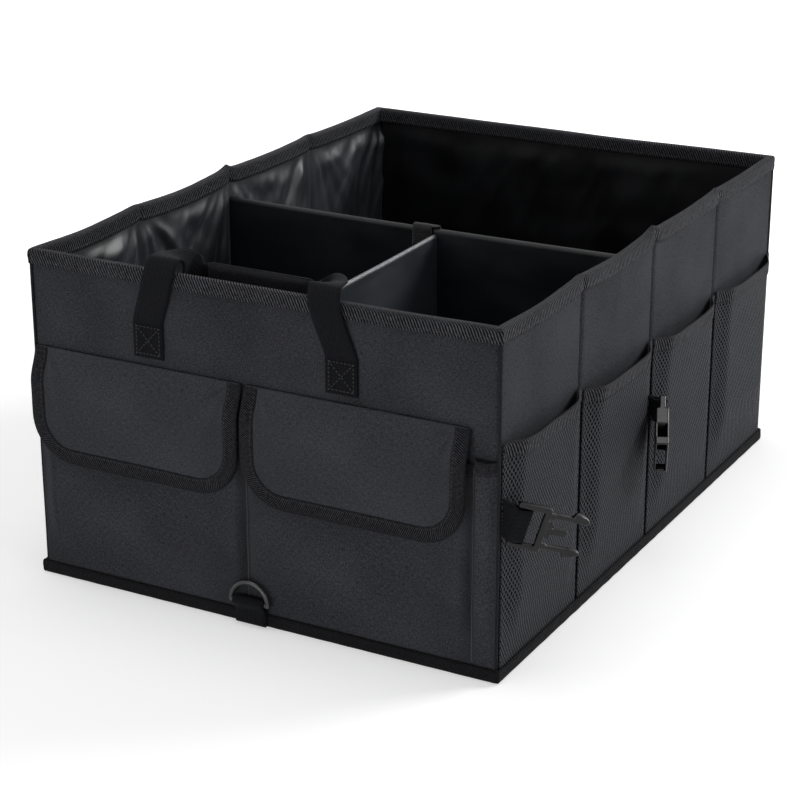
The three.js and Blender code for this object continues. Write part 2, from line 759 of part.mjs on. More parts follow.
// The left wall is the right one turned round, so its pronged half is at its rear end
for (const [prongs, socket, wall] of [
  ['right_front', 'right_middle', right],
  ['left_rear', 'left_middle', left],
]) {
  addBuckle(prongs, 'male', wall, {
    u: maleBarY - faceY, out: maleBarX, z: cornerStrapZ,
    outward: maleOutwardAngle, droop: maleDroopAngle, roll: maleRollAngle, shape: maleBuckle(),
    stop: -(pocketLayer + gap),
  });
  addBuckle(socket, 'female', wall, {
    u: 0, out: femaleBarX, z: middleStrapZ,
    outward: -femaleOutwardAngle, droop: femaleDroopAngle, roll: 0, shape: femaleBuckle(),
    stop: -(pocketLayer + gap + femaleStrapClear),
  });
}

addTieRing('front', front, ringX);
addTieRing('rear', rear, -ringX);

organizer.updateMatrixWorld(true);

export default organizer;
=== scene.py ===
"""The look of a folding cloth organizer for a car trunk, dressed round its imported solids."""

import math

import bmesh
import bpy
from mathutils import Matrix, Vector, noise


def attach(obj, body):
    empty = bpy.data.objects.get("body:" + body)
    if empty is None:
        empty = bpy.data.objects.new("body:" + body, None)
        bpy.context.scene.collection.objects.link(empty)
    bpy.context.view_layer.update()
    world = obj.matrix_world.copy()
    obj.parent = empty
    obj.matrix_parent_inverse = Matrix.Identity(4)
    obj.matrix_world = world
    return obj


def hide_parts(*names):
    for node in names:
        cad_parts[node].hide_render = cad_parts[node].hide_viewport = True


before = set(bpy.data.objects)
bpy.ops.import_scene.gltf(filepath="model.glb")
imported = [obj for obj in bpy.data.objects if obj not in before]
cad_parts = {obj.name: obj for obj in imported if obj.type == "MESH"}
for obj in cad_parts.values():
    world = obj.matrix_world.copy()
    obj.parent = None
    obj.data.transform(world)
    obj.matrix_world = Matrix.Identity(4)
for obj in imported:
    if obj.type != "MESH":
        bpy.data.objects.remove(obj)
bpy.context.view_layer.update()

# Sizes of the box in millimetres, as in its solids. The helpers below work in millimetres and
# turn a finished mesh into metres.
MM = 0.001
HALF = {"front": 188.5, "right": 256.5, "rear": 188.5, "left": 256.5}
REACH = {"front": 256.5, "right": 188.5, "rear": 256.5, "left": 188.5}
TURN = {"front": 0, "right": 90, "rear": 180, "left": -90}
FOOT = 1.2
TOP = 252.5
HEIGHT = 254.0
LINING = 4.5
LONG_WALLS = ("right", "left")
CLOTH_PLY = 0.8
STRAP_WIDTH = 25.0
STRAP_PLY = 1.2
FOLDS = (-129.0, 0.0, 129.0)
PANEL_ENDS = (-256.5, *FOLDS, 256.5)
RIM_PEAKS = {-129.0: 1.8, 0.0: 4.2, 129.0: 2.0}
RIM_SAGS = (2.0, 2.0, 1.0, 0.8)
PANEL = 129.0


# Small sums

def lerp(a, b, t):
    return a + (b - a) * t


def ease(t):
    t = min(max(t, 0.0), 1.0)
    return t * t * (3 - 2 * t)


def hump(x, width):
    return math.exp(-(x / width) ** 2)


def ripple(x, y, seed, size):
    return noise.noise(Vector((x / size, y / size, seed)))


def wall_point(wall, u, out, z):
    """A point on a wall: u runs along it and out is how far it stands proud of the outer cloth."""
    angle = math.radians(TURN[wall])
    away = REACH[wall] + out
    return Vector((u * math.cos(angle) + away * math.sin(angle),
                   u * math.sin(angle) - away * math.cos(angle), z))


def outward(wall):
    """The direction in which a wall faces."""
    return wall_point(wall, 0, 1, 0) - wall_point(wall, 0, 0, 0)


def rim_lift(y):
    """How far the rim of a long wall rises at its folds and sags between them."""
    lift = sum(peak * math.exp(-abs(y - fold) / 5.5) for fold, peak in RIM_PEAKS.items())
    place = (y + 2 * PANEL) / PANEL
    panel = min(max(int(place), 0), 3)
    return lift - RIM_SAGS[panel] * math.sin(math.pi * min(max(place - panel, 0), 1)) ** 2


def settled(point):
    """The point after the upper edge of the box has settled into its own slight waves."""
    share = ease((point.z - 150) / 95)
    side = ease((abs(point.x) - 120) / 60)
    end = 1 - side
    lift = rim_lift(point.y) * side - end * 0.6 * (1 + ripple(point.x, point.y, 5.0, 90))
    return Vector((point.x, point.y, point.z + lift * share))


# Finishes

OBJECT_COORDINATES = 3  # the place of this output on the Texture Coordinate node


class Signal:
    """A number worked out at each point of a surface."""

    def __init__(self, finish, socket):
        self.finish = finish
        self.socket = socket

    def math(self, operation, *others):
        values = dict(enumerate((self, *others)))
        return self.finish.node("ShaderNodeMath", {"operation": operation}, values)

    def clipped(self):
        return self.math("MINIMUM", 1.0).math("MAXIMUM", 0.0)

    def __add__(self, other):
        return self.math("ADD", other)

    __radd__ = __add__

    def __mul__(self, other):
        return self.math("MULTIPLY", other)

    __rmul__ = __mul__

    def __sub__(self, other):
        return self.math("SUBTRACT", other)

    def __rsub__(self, other):
        return self.math("MULTIPLY_ADD", -1.0, other)

    def __truediv__(self, other):
        return self.math("DIVIDE", other)

    def __pow__(self, other):
        return self.math("POWER", other)

    def __abs__(self):
        return self.math("ABSOLUTE")


class Nodes:
    """The nodes of a material or of the world."""

    def __init__(self, tree):
        self.tree = tree

    def feed(self, made, values):
        for key, value in values.items():
            if isinstance(value, Signal):
                self.tree.links.new(value.socket, made.inputs[key])
            else:
                made.inputs[key].default_value = value

    def node(self, kind, settings=None, values=None, output=0):
        made = self.tree.nodes.new(kind)
        for key, value in (settings or {}).items():
            setattr(made, key, value)
        self.feed(made, values or {})
        return Signal(self, made.outputs[output])

    def seen(self):
        """1 where the camera, a mirror or glass looks at it, and 0 where it only gives light."""
        rays = [self.node("ShaderNodeLightPath", {}, {}, ray) for ray in
                ("Is Camera Ray", "Is Glossy Ray", "Is Transmission Ray")]
        return rays[0].math("MAXIMUM", rays[1]).math("MAXIMUM", rays[2])


class Finish(Nodes):
    """A material of the organizer, with one shader whose fixed values are set on its own sockets."""

    def __init__(self, name, **values):
        self.material = bpy.data.materials.new(name)
        self.material.use_nodes = True
        super().__init__(self.material.node_tree)
        self.shader = self.tree.nodes["Principled BSDF"]
        self.wear(**values)

    def object_place(self):
        return self.node("ShaderNodeTexCoord", {}, {}, OBJECT_COORDINATES)

    def cloth_place(self):
        """Metres along and across the cloth, from the piece's own map."""
        place = self.node("ShaderNodeUVMap", {"uv_map": "cloth"})
        return [self.node("ShaderNodeSeparateXYZ", {}, {0: place}, axis) for axis in (0, 1)]

    def spot(self, across, along, depth=0.0):
        return self.node("ShaderNodeCombineXYZ", {}, {0: across, 1: along, 2: depth})

    def cloud(self, place, scale, detail=2.0, roughness=0.5):
        values = {"Vector": place, "Scale": scale, "Detail": detail, "Roughness": roughness}
        return self.node("ShaderNodeTexNoise", {}, values)

    def object_cloud(self, scale, detail=3.0):
        return self.cloud(self.object_place(), scale, detail)

    def span(self, value, low, high, new_low, new_high):
        values = {"Value": value, "From Min": low, "From Max": high, "To Min": new_low, "To Max": new_high}
        return self.node("ShaderNodeMapRange", {}, values)

    def tint(self, share, dark, light):
        values = {0: share, 6: (*dark, 1), 7: (*light, 1)}
        return self.node("ShaderNodeMix", {"data_type": "RGBA"}, values, 2)

    def raised(self, height, distance, strength=1.0, under=None):
        values = {"Height": height, "Distance": distance, "Strength": strength}
        if under:
            values["Normal"] = under
        return self.node("ShaderNodeBump", {}, values)

    def weave(self, share, dark, light, bump, rough, **values):
        """The last step of a finish: its colours, its relief and its roughness."""
        return self.wear(Base_Color=self.tint(share, dark, light), Normal=bump, Roughness=rough, **values)

    def wear(self, **values):
        self.feed(self.shader, {key.replace("_", " "): value for key, value in values.items()})
        return self.material


def round_thread(value):
    """The round back of each thread: 1 along its middle and 0 in the gap to the next."""
    across = value.math("FRACT") * 2.0 - 1.0
    return 1.0 - across * across


def plain_weave(finish, across, along, pitch):
    """The height of a plain weave whose threads lie a pitch apart."""
    x, y = across / pitch, along / pitch
    over = ((x.math("FLOOR") + y.math("FLOOR")) * 0.5).math("FRACT") * 2.0
    warp, weft = round_thread(x), round_thread(y)
    return over * warp * (weft * 0.45 + 0.55) + (1.0 - over) * weft * (warp * 0.45 + 0.55)


def woven_cloth(name, dark, light, pitch, rough, depth, sheen, shine):
    """Plain-woven cloth with uneven threads and a little lint."""
    finish = Finish(name, Sheen_Weight=sheen, Sheen_Roughness=0.45, Specular_IOR_Level=shine)
    across, along = finish.cloth_place()
    weave = plain_weave(finish, across, along, pitch)
    slubs = finish.cloud(finish.spot(across * 0.3, along), 1300.0, 2.0)
    picks = finish.cloud(finish.spot(across, along * 0.3), 1300.0, 2.0)
    thread = (slubs + picks) * 0.5
    fading = finish.cloud(finish.spot(across, along), 14.0, 3.0)
    grain = finish.cloud(finish.spot(across, along), 1900.0, 2.0)
    # The weave height also sets the colour: lighter on the threads' tops and darker in the gaps between them,
    # painted shade.
    share = weave * 0.5 + (thread - 0.5) * 1.5 + (grain - 0.5) * 1.8 + (fading - 0.5) * 0.6 + 0.13
    bump = finish.raised(weave + thread * 0.6 + grain * 0.5, depth)
    roughness = finish.span(weave, 0.0, 1.0, rough + 0.12, rough - 0.05)
    return finish.weave(share.clipped(), dark, light, bump, roughness)


def ribbed_tape(name, dark, light, pitch, slant, rough, depth):
    """Woven tape with ribs: slant is how far a rib leans along the tape for each step across it."""
    finish = Finish(name, Sheen_Weight=0.01, Sheen_Roughness=0.4, Specular_IOR_Level=0.04)
    across, along = finish.cloth_place()
    rib = round_thread((across + along * slant) / pitch)
    thread = round_thread(along / (pitch * 0.42))
    grain = finish.cloud(finish.spot(across, along), 500.0, 2.0)
    fading = finish.cloud(finish.spot(across, along), 25.0, 3.0)
    share = rib * 1.2 + thread * 0.2 + (grain - 0.5) * 0.9 + (fading - 0.5) * 0.3 - 0.85
    bump = finish.raised(rib * 1.6 + thread * 0.4 + grain * 0.3, depth)
    roughness = finish.span(rib, 0.0, 1.0, rough + 0.1, rough - 0.06)
    return finish.weave(share.clipped(), dark, light, bump, roughness)


def herringbone_webbing(name, dark, light, rib_width, pitch, rough, depth):
    """Flat webbing: lengthwise ribs whose threads lean to alternate sides."""
    finish = Finish(name, Sheen_Weight=0.01, Sheen_Roughness=0.4, Specular_IOR_Level=0.04)
    across, along = finish.cloth_place()
    side = ((across / rib_width).math("FLOOR") * 0.5).math("FRACT") * 4.0 - 1.0
    rib = round_thread(across / rib_width)
    leaning = round_thread((along + across * side) / pitch)
    grain = finish.cloud(finish.spot(across, along), 600.0, 2.0)
    share = (rib * 0.35 + 0.65) * leaning * 0.8 + (grain - 0.5) * 0.9
    bump = finish.raised(rib * 0.8 + leaning * 0.7 + grain * 0.3, depth)
    roughness = finish.span(leaning, 0.0, 1.0, rough + 0.1, rough - 0.08)
    return finish.weave(share.clipped(), dark, light, bump, roughness)


def knitted_mesh(name, dark, light, pitch, rough, depth):
    """Open knit: rows of slanting holes between thick threads. The holes are mostly opaque and dark, painted
    shade of the cloth behind the mesh, and the cords are light along their middles and dark at their edges,
    painted shade.
    """
    finish = Finish(name, Sheen_Weight=0.02, Sheen_Roughness=0.5, Specular_IOR_Level=0.06)
    across, along = finish.cloth_place()
    wander = finish.cloud(finish.spot(across, along), 60.0, 1.0)
    x = (across + wander * pitch * 0.5) / pitch
    y = (along + wander * pitch * 0.5) / (pitch * 0.82)
    first = round_thread(x + y * 0.5) ** 4.0
    second = round_thread(x - y * 0.5) ** 4.0
    cords = first.math("MAXIMUM", second)
    # The holes let only a fifth of the cloth behind show through and take the dark colour: painted shade.
    holes_with_painted_shade = finish.span(cords, 0.16, 0.30, 0.80, 1.0)
    fibre = finish.cloud(finish.spot(across, along), 1500.0, 2.0)
    # The colour follows the cords: light along their middles, dark at their edges and in the holes, painted
    # shade.
    share = (cords - 0.56) * 2.0 + (fibre - 0.5) * 0.9
    bump = finish.raised(cords + fibre * 0.25, depth)
    roughness = finish.span(fibre, 0.2, 0.8, rough - 0.1, rough + 0.1)
    return finish.weave(share.clipped(), dark, light, bump, roughness, Alpha=holes_with_painted_shade)


def coated_cloth(name, dark, light, rough, depth, shine, sheen):
    """Thin cloth with a satin coating: a fine weave under it and small puckers over it."""
    finish = Finish(name, Specular_IOR_Level=shine, Sheen_Weight=sheen, Sheen_Roughness=0.45,
                    Sheen_Tint=(0.75, 0.88, 1.0, 1.0))
    across, along = finish.cloth_place()
    weave = plain_weave(finish, across, along, 0.00035)
    pucker = finish.cloud(finish.spot(across, along * 0.45), 34.0, 3.0, 0.45)
    handled = finish.cloud(finish.spot(across, along), 12.0, 3.0)
    share = handled * 0.8 + (pucker - 0.5) * 0.8 + weave * 0.12 - 0.1
    creased = finish.raised(pucker, depth)
    bump = finish.raised(weave, 0.00004, 0.6, creased)
    roughness = finish.span(pucker + handled, 0.7, 1.3, rough - 0.07, rough + 0.1)
    return finish.weave(share.clipped(), dark, light, bump, roughness)


def moulded_plastic(name, dark, light, rough, shine):
    """Moulded plastic with a faint flow and fine handling marks."""
    finish = Finish(name, Specular_IOR_Level=shine, Coat_Roughness=0.12)
    flow = finish.object_cloud(90.0)
    skin = finish.object_cloud(1400.0, 2.0)
    bump = finish.raised(skin + flow * 0.8, 0.00004)
    roughness = finish.span(skin, 0.3, 0.7, rough - 0.04, rough + 0.08)
    return finish.weave(flow, dark, light, bump, roughness, Coat_Weight=flow * 0.12)


def hook_pile(name, dark, light):
    """Hook-and-loop tape: rows of tiny stiff hooks."""
    finish = Finish(name, Sheen_Weight=0.2, Sheen_Roughness=0.5, Specular_IOR_Level=0.3)
    across, along = finish.cloth_place()
    rows = round_thread(across / 0.0013) * round_thread(along / 0.0011)
    fuzz = finish.cloud(finish.spot(across, along), 1800.0, 3.0)
    bump = finish.raised(rows + fuzz * 0.7, 0.0004)
    roughness = finish.span(fuzz, 0.3, 0.7, 0.75, 0.95)
    return finish.weave(rows * 0.7 + fuzz * 0.3, dark, light, bump, roughness)


def plain_board(name, dark, light):
    """The stiff board inside a wall, fibrous and matt."""
    finish = Finish(name, Specular_IOR_Level=0.2)
    fibre = finish.object_cloud(700.0)
    blotch = finish.object_cloud(30.0)
    roughness = finish.span(blotch, 0.3, 0.7, 0.7, 0.85)
    return finish.weave(fibre * 0.5 + blotch * 0.5, dark, light, finish.raised(fibre, 0.0001), roughness)


def sewing_thread(name, dark, light):
    """Twisted thread of the stitches."""
    finish = Finish(name, Sheen_Weight=0.2, Sheen_Roughness=0.3, Specular_IOR_Level=0.5)
    twist = finish.object_cloud(2500.0, 1.0)
    roughness = finish.span(twist, 0.3, 0.7, 0.5, 0.7)
    return finish.weave(twist, dark, light, finish.raised(twist, 0.0001), roughness)


# The darkest and the lightest colour of each material, then its sizes in metres, its roughness and
# its shine, in the order of its function
BLACK = (0.002, 0.002, 0.0025)
OUTER = woven_cloth("outer_cloth", (0.006, 0.006, 0.007), (0.104, 0.107, 0.122),
                    0.00048, 0.72, 0.00016, 0.03, 0.05)
FLAP = woven_cloth("flap_cloth", (0.010, 0.010, 0.012), (0.084, 0.087, 0.100),
                   0.00042, 0.58, 0.00010, 0.03, 0.10)
SEAM = woven_cloth("seam_cloth", (0.004, 0.004, 0.005), (0.050, 0.051, 0.058),
                   0.00048, 0.75, 0.00012, 0.03, 0.05)
RIM_TAPE = ribbed_tape("rim_tape", BLACK, (0.210, 0.214, 0.236), 0.0023, 0.55, 0.60, 0.0006)
FLAP_TAPE = ribbed_tape("flap_tape", BLACK, (0.105, 0.107, 0.119), 0.0017, 0.9, 0.60, 0.0005)
FOOT_TAPE = ribbed_tape("foot_tape", BLACK, (0.055, 0.056, 0.062), 0.0020, 0.9, 0.66, 0.0006)
WEBBING = herringbone_webbing("webbing", (0.0015, 0.0015, 0.002), (0.019, 0.020, 0.023),
                              0.0017, 0.0011, 0.6, 0.0004)
MESH = knitted_mesh("pocket_mesh", (0.003, 0.003, 0.0035), (0.102, 0.106, 0.121), 0.0033, 0.62, 0.0009)
# The coated lining comes as a lit and a shaded copy. The copy for the long walls is lighter and has sheen,
# painted light where the key lamp reaches. The darker copy without sheen, for the end walls and base panels,
# is painted shade.
LIT_SIDE_LINING_CLOTH = coated_cloth("coated_lining", (0.001, 0.0012, 0.0018), (0.007, 0.009, 0.014),
                            0.44, 0.0014, 0.75, 0.13)
SHADED_END_LINING = coated_cloth("shaded_end_lining", (0.0005, 0.0006, 0.0009), (0.002, 0.0025, 0.004),
                          0.40, 0.0010, 0.25, 0.0)
# The dividers' cloth comes as two copies. The darker copy for the cross divider is painted shade. The
# lighter, shinier copy with more sheen for the long divider is painted light where the key lamp falls on it.
SHADED_CROSS_DIVIDER_CLOTH = coated_cloth("shaded_cross_divider_cloth", (0.001, 0.0012, 0.0018), (0.004, 0.0055, 0.009),
                             0.40, 0.0008, 0.40, 0.06)
LIT_LONG_DIVIDER_CLOTH = coated_cloth("lit_long_divider_cloth", (0.003, 0.004, 0.006), (0.012, 0.016, 0.025),
                                  0.42, 0.0010, 0.8, 0.16)
BUCKLE = moulded_plastic("buckle_plastic", BLACK, (0.006, 0.006, 0.007), 0.17, 0.26)
RING = moulded_plastic("ring_plastic", (0.008, 0.008, 0.010), (0.020, 0.020, 0.023), 0.26, 0.50)
PILE = hook_pile("hook_tape", BLACK, (0.018, 0.018, 0.021))
BOARD = plain_board("stiffener_board", (0.030, 0.030, 0.033), (0.065, 0.065, 0.070))
THREAD = sewing_thread("sewing_thread", (0.001, 0.001, 0.0012), (0.012, 0.012, 0.014))


# Making of pieces

def make_object(name, shape, finish):
    """Turns a finished shape in millimetres into an object in metres."""
    bmesh.ops.scale(shape, vec=(MM, MM, MM), verts=shape.verts)
    mesh = bpy.data.meshes.new(name)
    shape.to_mesh(mesh)
    shape.free()
    mesh.materials.append(finish)
    made = bpy.data.objects.new(name, mesh)
    bpy.context.scene.collection.objects.link(made)
    return made


def add_piece(name, shape, finish, body="root", replaces=(), angle=50, ply=0.0, offset=-1.0):
    """A piece that rides on a body. A sheet's ply lies behind its face or, with offset 0, to both sides."""
    piece = make_object(name, shape, finish)
    piece.data.polygons.foreach_set("use_smooth", [True] * len(piece.data.polygons))
    piece.data.set_sharp_from_angle(angle=math.radians(angle))
    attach(piece, body)
    if replaces:
        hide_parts(*replaces)
    if ply:
        layer = piece.modifiers.new("thickness", "SOLIDIFY")
        layer.thickness = ply * MM
        layer.offset = offset
    return piece


def spread(columns, rows, size, place, closed=False):
    """A sheet: place turns shares along it and up it into a point, and size is its cut in millimetres."""
    shape = bmesh.new()
    bmesh.ops.create_grid(shape, x_segments=columns, y_segments=rows, size=0.5)
    cloth = shape.loops.layers.uv.new("cloth")
    for face in shape.faces:
        for loop in face.loops:
            flat = loop.vert.co
            loop[cloth].uv = ((flat.x + 0.5) * size[0] * MM, (flat.y + 0.5) * size[1] * MM)
    for vert in shape.verts:
        vert.co = place(vert.co.x + 0.5, vert.co.y + 0.5)
    if closed:
        bmesh.ops.remove_doubles(shape, verts=shape.verts, dist=0.01)
    return shape


def close_ends(shape):
    """Closes the open ends of a tube."""
    rim = [edge for edge in shape.edges if edge.is_boundary]
    bmesh.ops.holes_fill(shape, edges=rim, sides=0)
    return shape


class Line:
    """A smooth line through points, on which a strap or a seam runs."""

    def __init__(self, points):
        self.points = [Vector(point) for point in points]

    def at(self, t):
        last = len(self.points) - 1
        place = min(max(t, 0.0), 1.0) * last
        i = min(int(place), last - 1)
        p1, p2 = self.points[i], self.points[i + 1]
        p0 = self.points[i - 1] if i else p1 * 2 - p2
        p3 = self.points[i + 2] if i + 2 <= last else p2 * 2 - p1
        d0, d1, d2 = (max((b - a).length, 1e-4) ** 0.5 for a, b in ((p0, p1), (p1, p2), (p2, p3)))
        m1 = ((p1 - p0) / d0 - (p2 - p0) / (d0 + d1) + (p2 - p1) / d1) * d1
        m2 = ((p2 - p1) / d1 - (p3 - p1) / (d1 + d2) + (p3 - p2) / d2) * d1
        s = place - i
        return (p1 * (2 * s ** 3 - 3 * s ** 2 + 1) + m1 * (s ** 3 - 2 * s ** 2 + s)
                + p2 * (3 * s ** 2 - 2 * s ** 3) + m2 * (s ** 3 - s ** 2))

    def heading(self, t):
        return (self.at(min(t + 0.002, 1)) - self.at(max(t - 0.002, 0))).normalized()

    def length(self):
        marks = [self.at(i / 200) for i in range(201)]
        return sum((b - a).length for a, b in zip(marks, marks[1:]))


def tube(path, radius, sides, rows):
    """A round cord along a line. Its frame is carried along so that it does not twist."""
    frames = []
    side = None
    for i in range(rows + 1):
        t = i / rows
        point, heading = path.at(t), path.heading(t)
        side = side or heading.orthogonal()
        side = (side - heading * side.dot(heading)).normalized()
        frames.append((point, side, heading.cross(side)))

    def place(s, t):
        point, first, second = frames[round(t * rows)]
        angle = -2 * math.pi * s
        return point + (first * math.cos(angle) + second * math.sin(angle)) * radius

    return close_ends(spread(sides, rows, (2 * math.pi * radius, path.length()), place, closed=True))


def ribbon(points, acrosses, rows):
    """A flat strap along a line, with its width direction given at each point."""
    path, turning = Line(points), Line(acrosses)

    def place(s, t):
        return path.at(t) + turning.at(t).normalized() * ((2 * s - 1) * STRAP_WIDTH / 2)

    return spread(8, rows, (STRAP_WIDTH, path.length()), place)


def stitches(name, rows, body="root", pitch=3.4, size=0.34):
    """Rows of stitches: each row is a list of points with the outward direction of the cloth there."""
    shape = bmesh.new()
    for row in rows:
        carried = 0.0
        for (a, out_a), (b, out_b) in zip(row, row[1:]):
            span = (b - a).length
            if span < 1e-6:
                continue
            heading = (b - a) / span
            while carried < span:
                share = carried / span
                out = out_a.lerp(out_b, share).normalized()
                side = heading.cross(out).normalized()
                turn = Matrix((heading, side, heading.cross(side))).transposed().to_4x4()
                at = Matrix.Translation(a.lerp(b, share))
                girth = Matrix.Diagonal((pitch * 0.37, size, size * 0.9, 1))
                bmesh.ops.create_icosphere(shape, subdivisions=1, radius=1, matrix=at @ turn @ girth)
                carried += pitch
            carried -= span
    return add_piece(name, shape, THREAD, body, angle=180)


# Walls

def wall_face(wall, u, z):
    """How far the outer cloth of a wall stands proud of its flat place."""
    held = ease((z - 8) / 30) * ease((243 - z) / 18)
    out = (0.5 * ripple(u, z, 3.1, 70) + 0.16 * ripple(u, z, 8.3, 17) - 0.4) * held
    if wall in LONG_WALLS:
        near = min(abs(u - fold) for fold in FOLDS)
        out += 0.35 * held * (1 - hump(near, 16))
        out -= 2.2 * hump(near, 1.9)
    return out


def outer_wall(wall):
    half, columns = (HALF[wall] - 1.0, 258) if wall in LONG_WALLS else (HALF[wall], 96)

    def place(s, t):
        u, z = lerp(-half, half, s), lerp(FOOT, TOP, t)
        corner = 1.2 * hump(HALF[wall] - abs(u), 1.6)
        return settled(wall_point(wall, u, wall_face(wall, u, z) - corner, z))

    shape = spread(columns, 64, (2 * half, TOP - FOOT), place)
    piece = add_piece(f"{wall}_wall_cloth", shape, OUTER, replaces=[f"{wall}_cloth"],
                      ply=CLOTH_PLY)


def crease_fan(u, z):
    """Creases of the lining that fan out from the top of each fold."""
    total = 0.0
    for fold in PANEL_ENDS:
        across, down = u - fold, 262 - z
        away = math.hypot(across, down)
        angle = math.atan2(across, down)
        total += noise.noise(Vector((angle * 5.2, away / 95, fold * 0.37))) * math.exp(-away / 85)
    return total


def lining_face(wall, u, z):
    """How far the lining stands into the box from its flat place."""
    held = ease((z - 9) / 40) * ease((241 - z) / 16)
    long_wall = wall in LONG_WALLS
    strength = 1.0 if long_wall else 0.35
    slack = ripple(u, z * 0.45, 1.7, 46)
    sharp = 1 - abs(ripple(u + z * 0.35, z * 0.3, 4.4, 19)) * 2.4
    fan = crease_fan(u, z) if long_wall else 0.35 * ripple(u * 0.5, z, 9.1, 26)
    depth = 1.4 + 1.6 * slack + 1.6 * max(sharp, 0) + 8.0 * fan
    depth = max(depth, 0.0) * strength * held
    if long_wall:
        near = min(abs(u - fold) for fold in FOLDS)
        depth = depth * (1 - hump(near, 5)) - 1.3 * hump(near, 1.8)
    return min(depth, 5.5)


def inner_wall(wall):
    # The long walls take the lit copy of the lining and the end walls the shaded copy: painted light and
    # painted shade.
    half, columns, finish = (251.8, 250, LIT_SIDE_LINING_CLOTH) if wall in LONG_WALLS else (183.8, 122, SHADED_END_LINING)

    def place(s, t):
        u, z = lerp(half, -half, s), lerp(FOOT, TOP - 0.5, t)
        return settled(wall_point(wall, u, -LINING - lining_face(wall, u, z), z))

    shape = spread(columns, 96, (2 * half, TOP - FOOT), place)
    piece = add_piece(f"{wall}_wall_lining", shape, finish,
                      replaces=[f"{wall}_lining"], angle=80, ply=0.5)


for wall in TURN:
    outer_wall(wall)
    inner_wall(wall)


# The rolled seam where two walls meet at a corner of the box

def corner_seam(name, x, y):
    def edge(z):
        swing = 0.4 * noise.noise(Vector((x, y, z / 30)))
        return settled(Vector((x * (188.1 + 0.2 * swing), y * (256.2 + swing * 0.2), z)))

    path = Line([edge(z) for z in (9, 40, 80, 120, 160, 200, 225, 243.5)])
    add_piece(name, tube(path, 1.15, 10, 60), SEAM)


for end, y in (("front", -1), ("rear", 1)):
    for side, x in (("left", -1), ("right", 1)):
        corner_seam(f"{end}_{side}_corner_seam", x, y)


# Bindings that run round the box

ROUND = (("front", 126), ("right", 172), ("rear", 126), ("left", 172))
ROUND_COLUMNS = sum(count for _, count in ROUND)


def round_place(s):
    column = s * ROUND_COLUMNS
    for wall, count in ROUND:
        if column <= count + 1e-6:
            return wall, 2 * column / count - 1
        column -= count


def round_point(s, out, z):
    """A point of a binding, at the share s of its way round the box."""
    wall, along = round_place(s)
    corner = 0.8 if abs(along) > 0.999 and out > -2 else 0.0
    return wall, wall_point(wall, along * (HALF[wall] + out), out - corner, z)


# The tape over the rim, from its outer lower edge over the top to its inner lower edge
RIM_SECTION = Line([(1.35, 0, 243.0), (1.45, 0, 247), (1.5, 0, 251.8), (0.7, 0, 253.6), (-1.5, 0, 254),
                    (-4.0, 0, 253.9), (-5.6, 0, 252.9), (-6.0, 0, 250.5), (-5.9, 0, 246), (-5.75, 0, 241.8)])
# The tape round the foot, from its outer upper edge to its inner edge under the box
FOOT_SECTION = Line([(2.2, 0, 10.2), (3.0, 0, 9.4), (3.35, 0, 7.4), (3.35, 0, 4.0), (3.2, 0, 1.6),
                     (2.4, 0, 0.35), (0.5, 0, 0.05), (-4, 0, 0.02), (-9, 0, 0.02)])


def rim_place(s, t):
    cut = RIM_SECTION.at(t)
    out, z = cut.x, cut.z
    wall, along = round_place(s)
    u = along * HALF[wall]
    wave = 0.25 * ripple(u, z * 2, 6.6 + TURN[wall], 9) + 0.3 * ripple(u, z, 2.2 + TURN[wall], 34)
    if wall in LONG_WALLS:
        near = min(abs(u - fold) for fold in FOLDS)
        pinch = hump(near, 2.3)
        out = lerp(out, -2.2, 0.33 * pinch)
        wave -= 0.5 * hump(near, 5)
    out += wave if out > -2 else -wave * 0.6
    return settled(round_point(s, out, z)[1])


rim = spread(ROUND_COLUMNS, 26, (1780, 31), rim_place, closed=True)
add_piece("rim_tape", rim, RIM_TAPE, replaces=["rim_binding"], angle=60, ply=0.95)


def foot_place(s, t):
    point = FOOT_SECTION.at(1 - t)
    wall, along = round_place(s)
    u = along * HALF[wall]
    swell = 0.3 * ripple(u, point.z * 2, 3.9 + TURN[wall], 11) * ease((point.x - 1) / 2)
    return round_point(s, point.x + swell, point.z + 0.3 * swell * ease(point.z / 4))[1]


foot = spread(ROUND_COLUMNS, 16, (1780, 22), foot_place, closed=True)
add_piece("foot_tape", foot, FOOT_TAPE, replaces=["bottom_binding"], angle=60, ply=0.9)


def along_rim(way, t):
    """Points on the rim tape, a share t of the way over it, and the way it faces there."""
    row = []
    for i in range(ROUND_COLUMNS + 1):
        s = i / ROUND_COLUMNS
        facing = outward(round_place(s)[0]) * way
        row.append((rim_place(s, t) + facing * 0.1, facing))
    return row


stitches("rim_stitches", [along_rim(1, 0.075), along_rim(-1, 0.93)])


# The underside, the base boards and the dividers

def underside_place(s, t):
    x, y = lerp(-187.5, 187.5, s), lerp(255.5, -255.5, t)
    sag = 0.12 * (1 + ripple(x, y, 7.7, 60))
    return Vector((x, y, 0.4 + sag))


underside = add_piece("underside_cloth", spread(76, 104, (375, 511), underside_place), OUTER,
                      replaces=["floor_cloth"], ply=0.6)


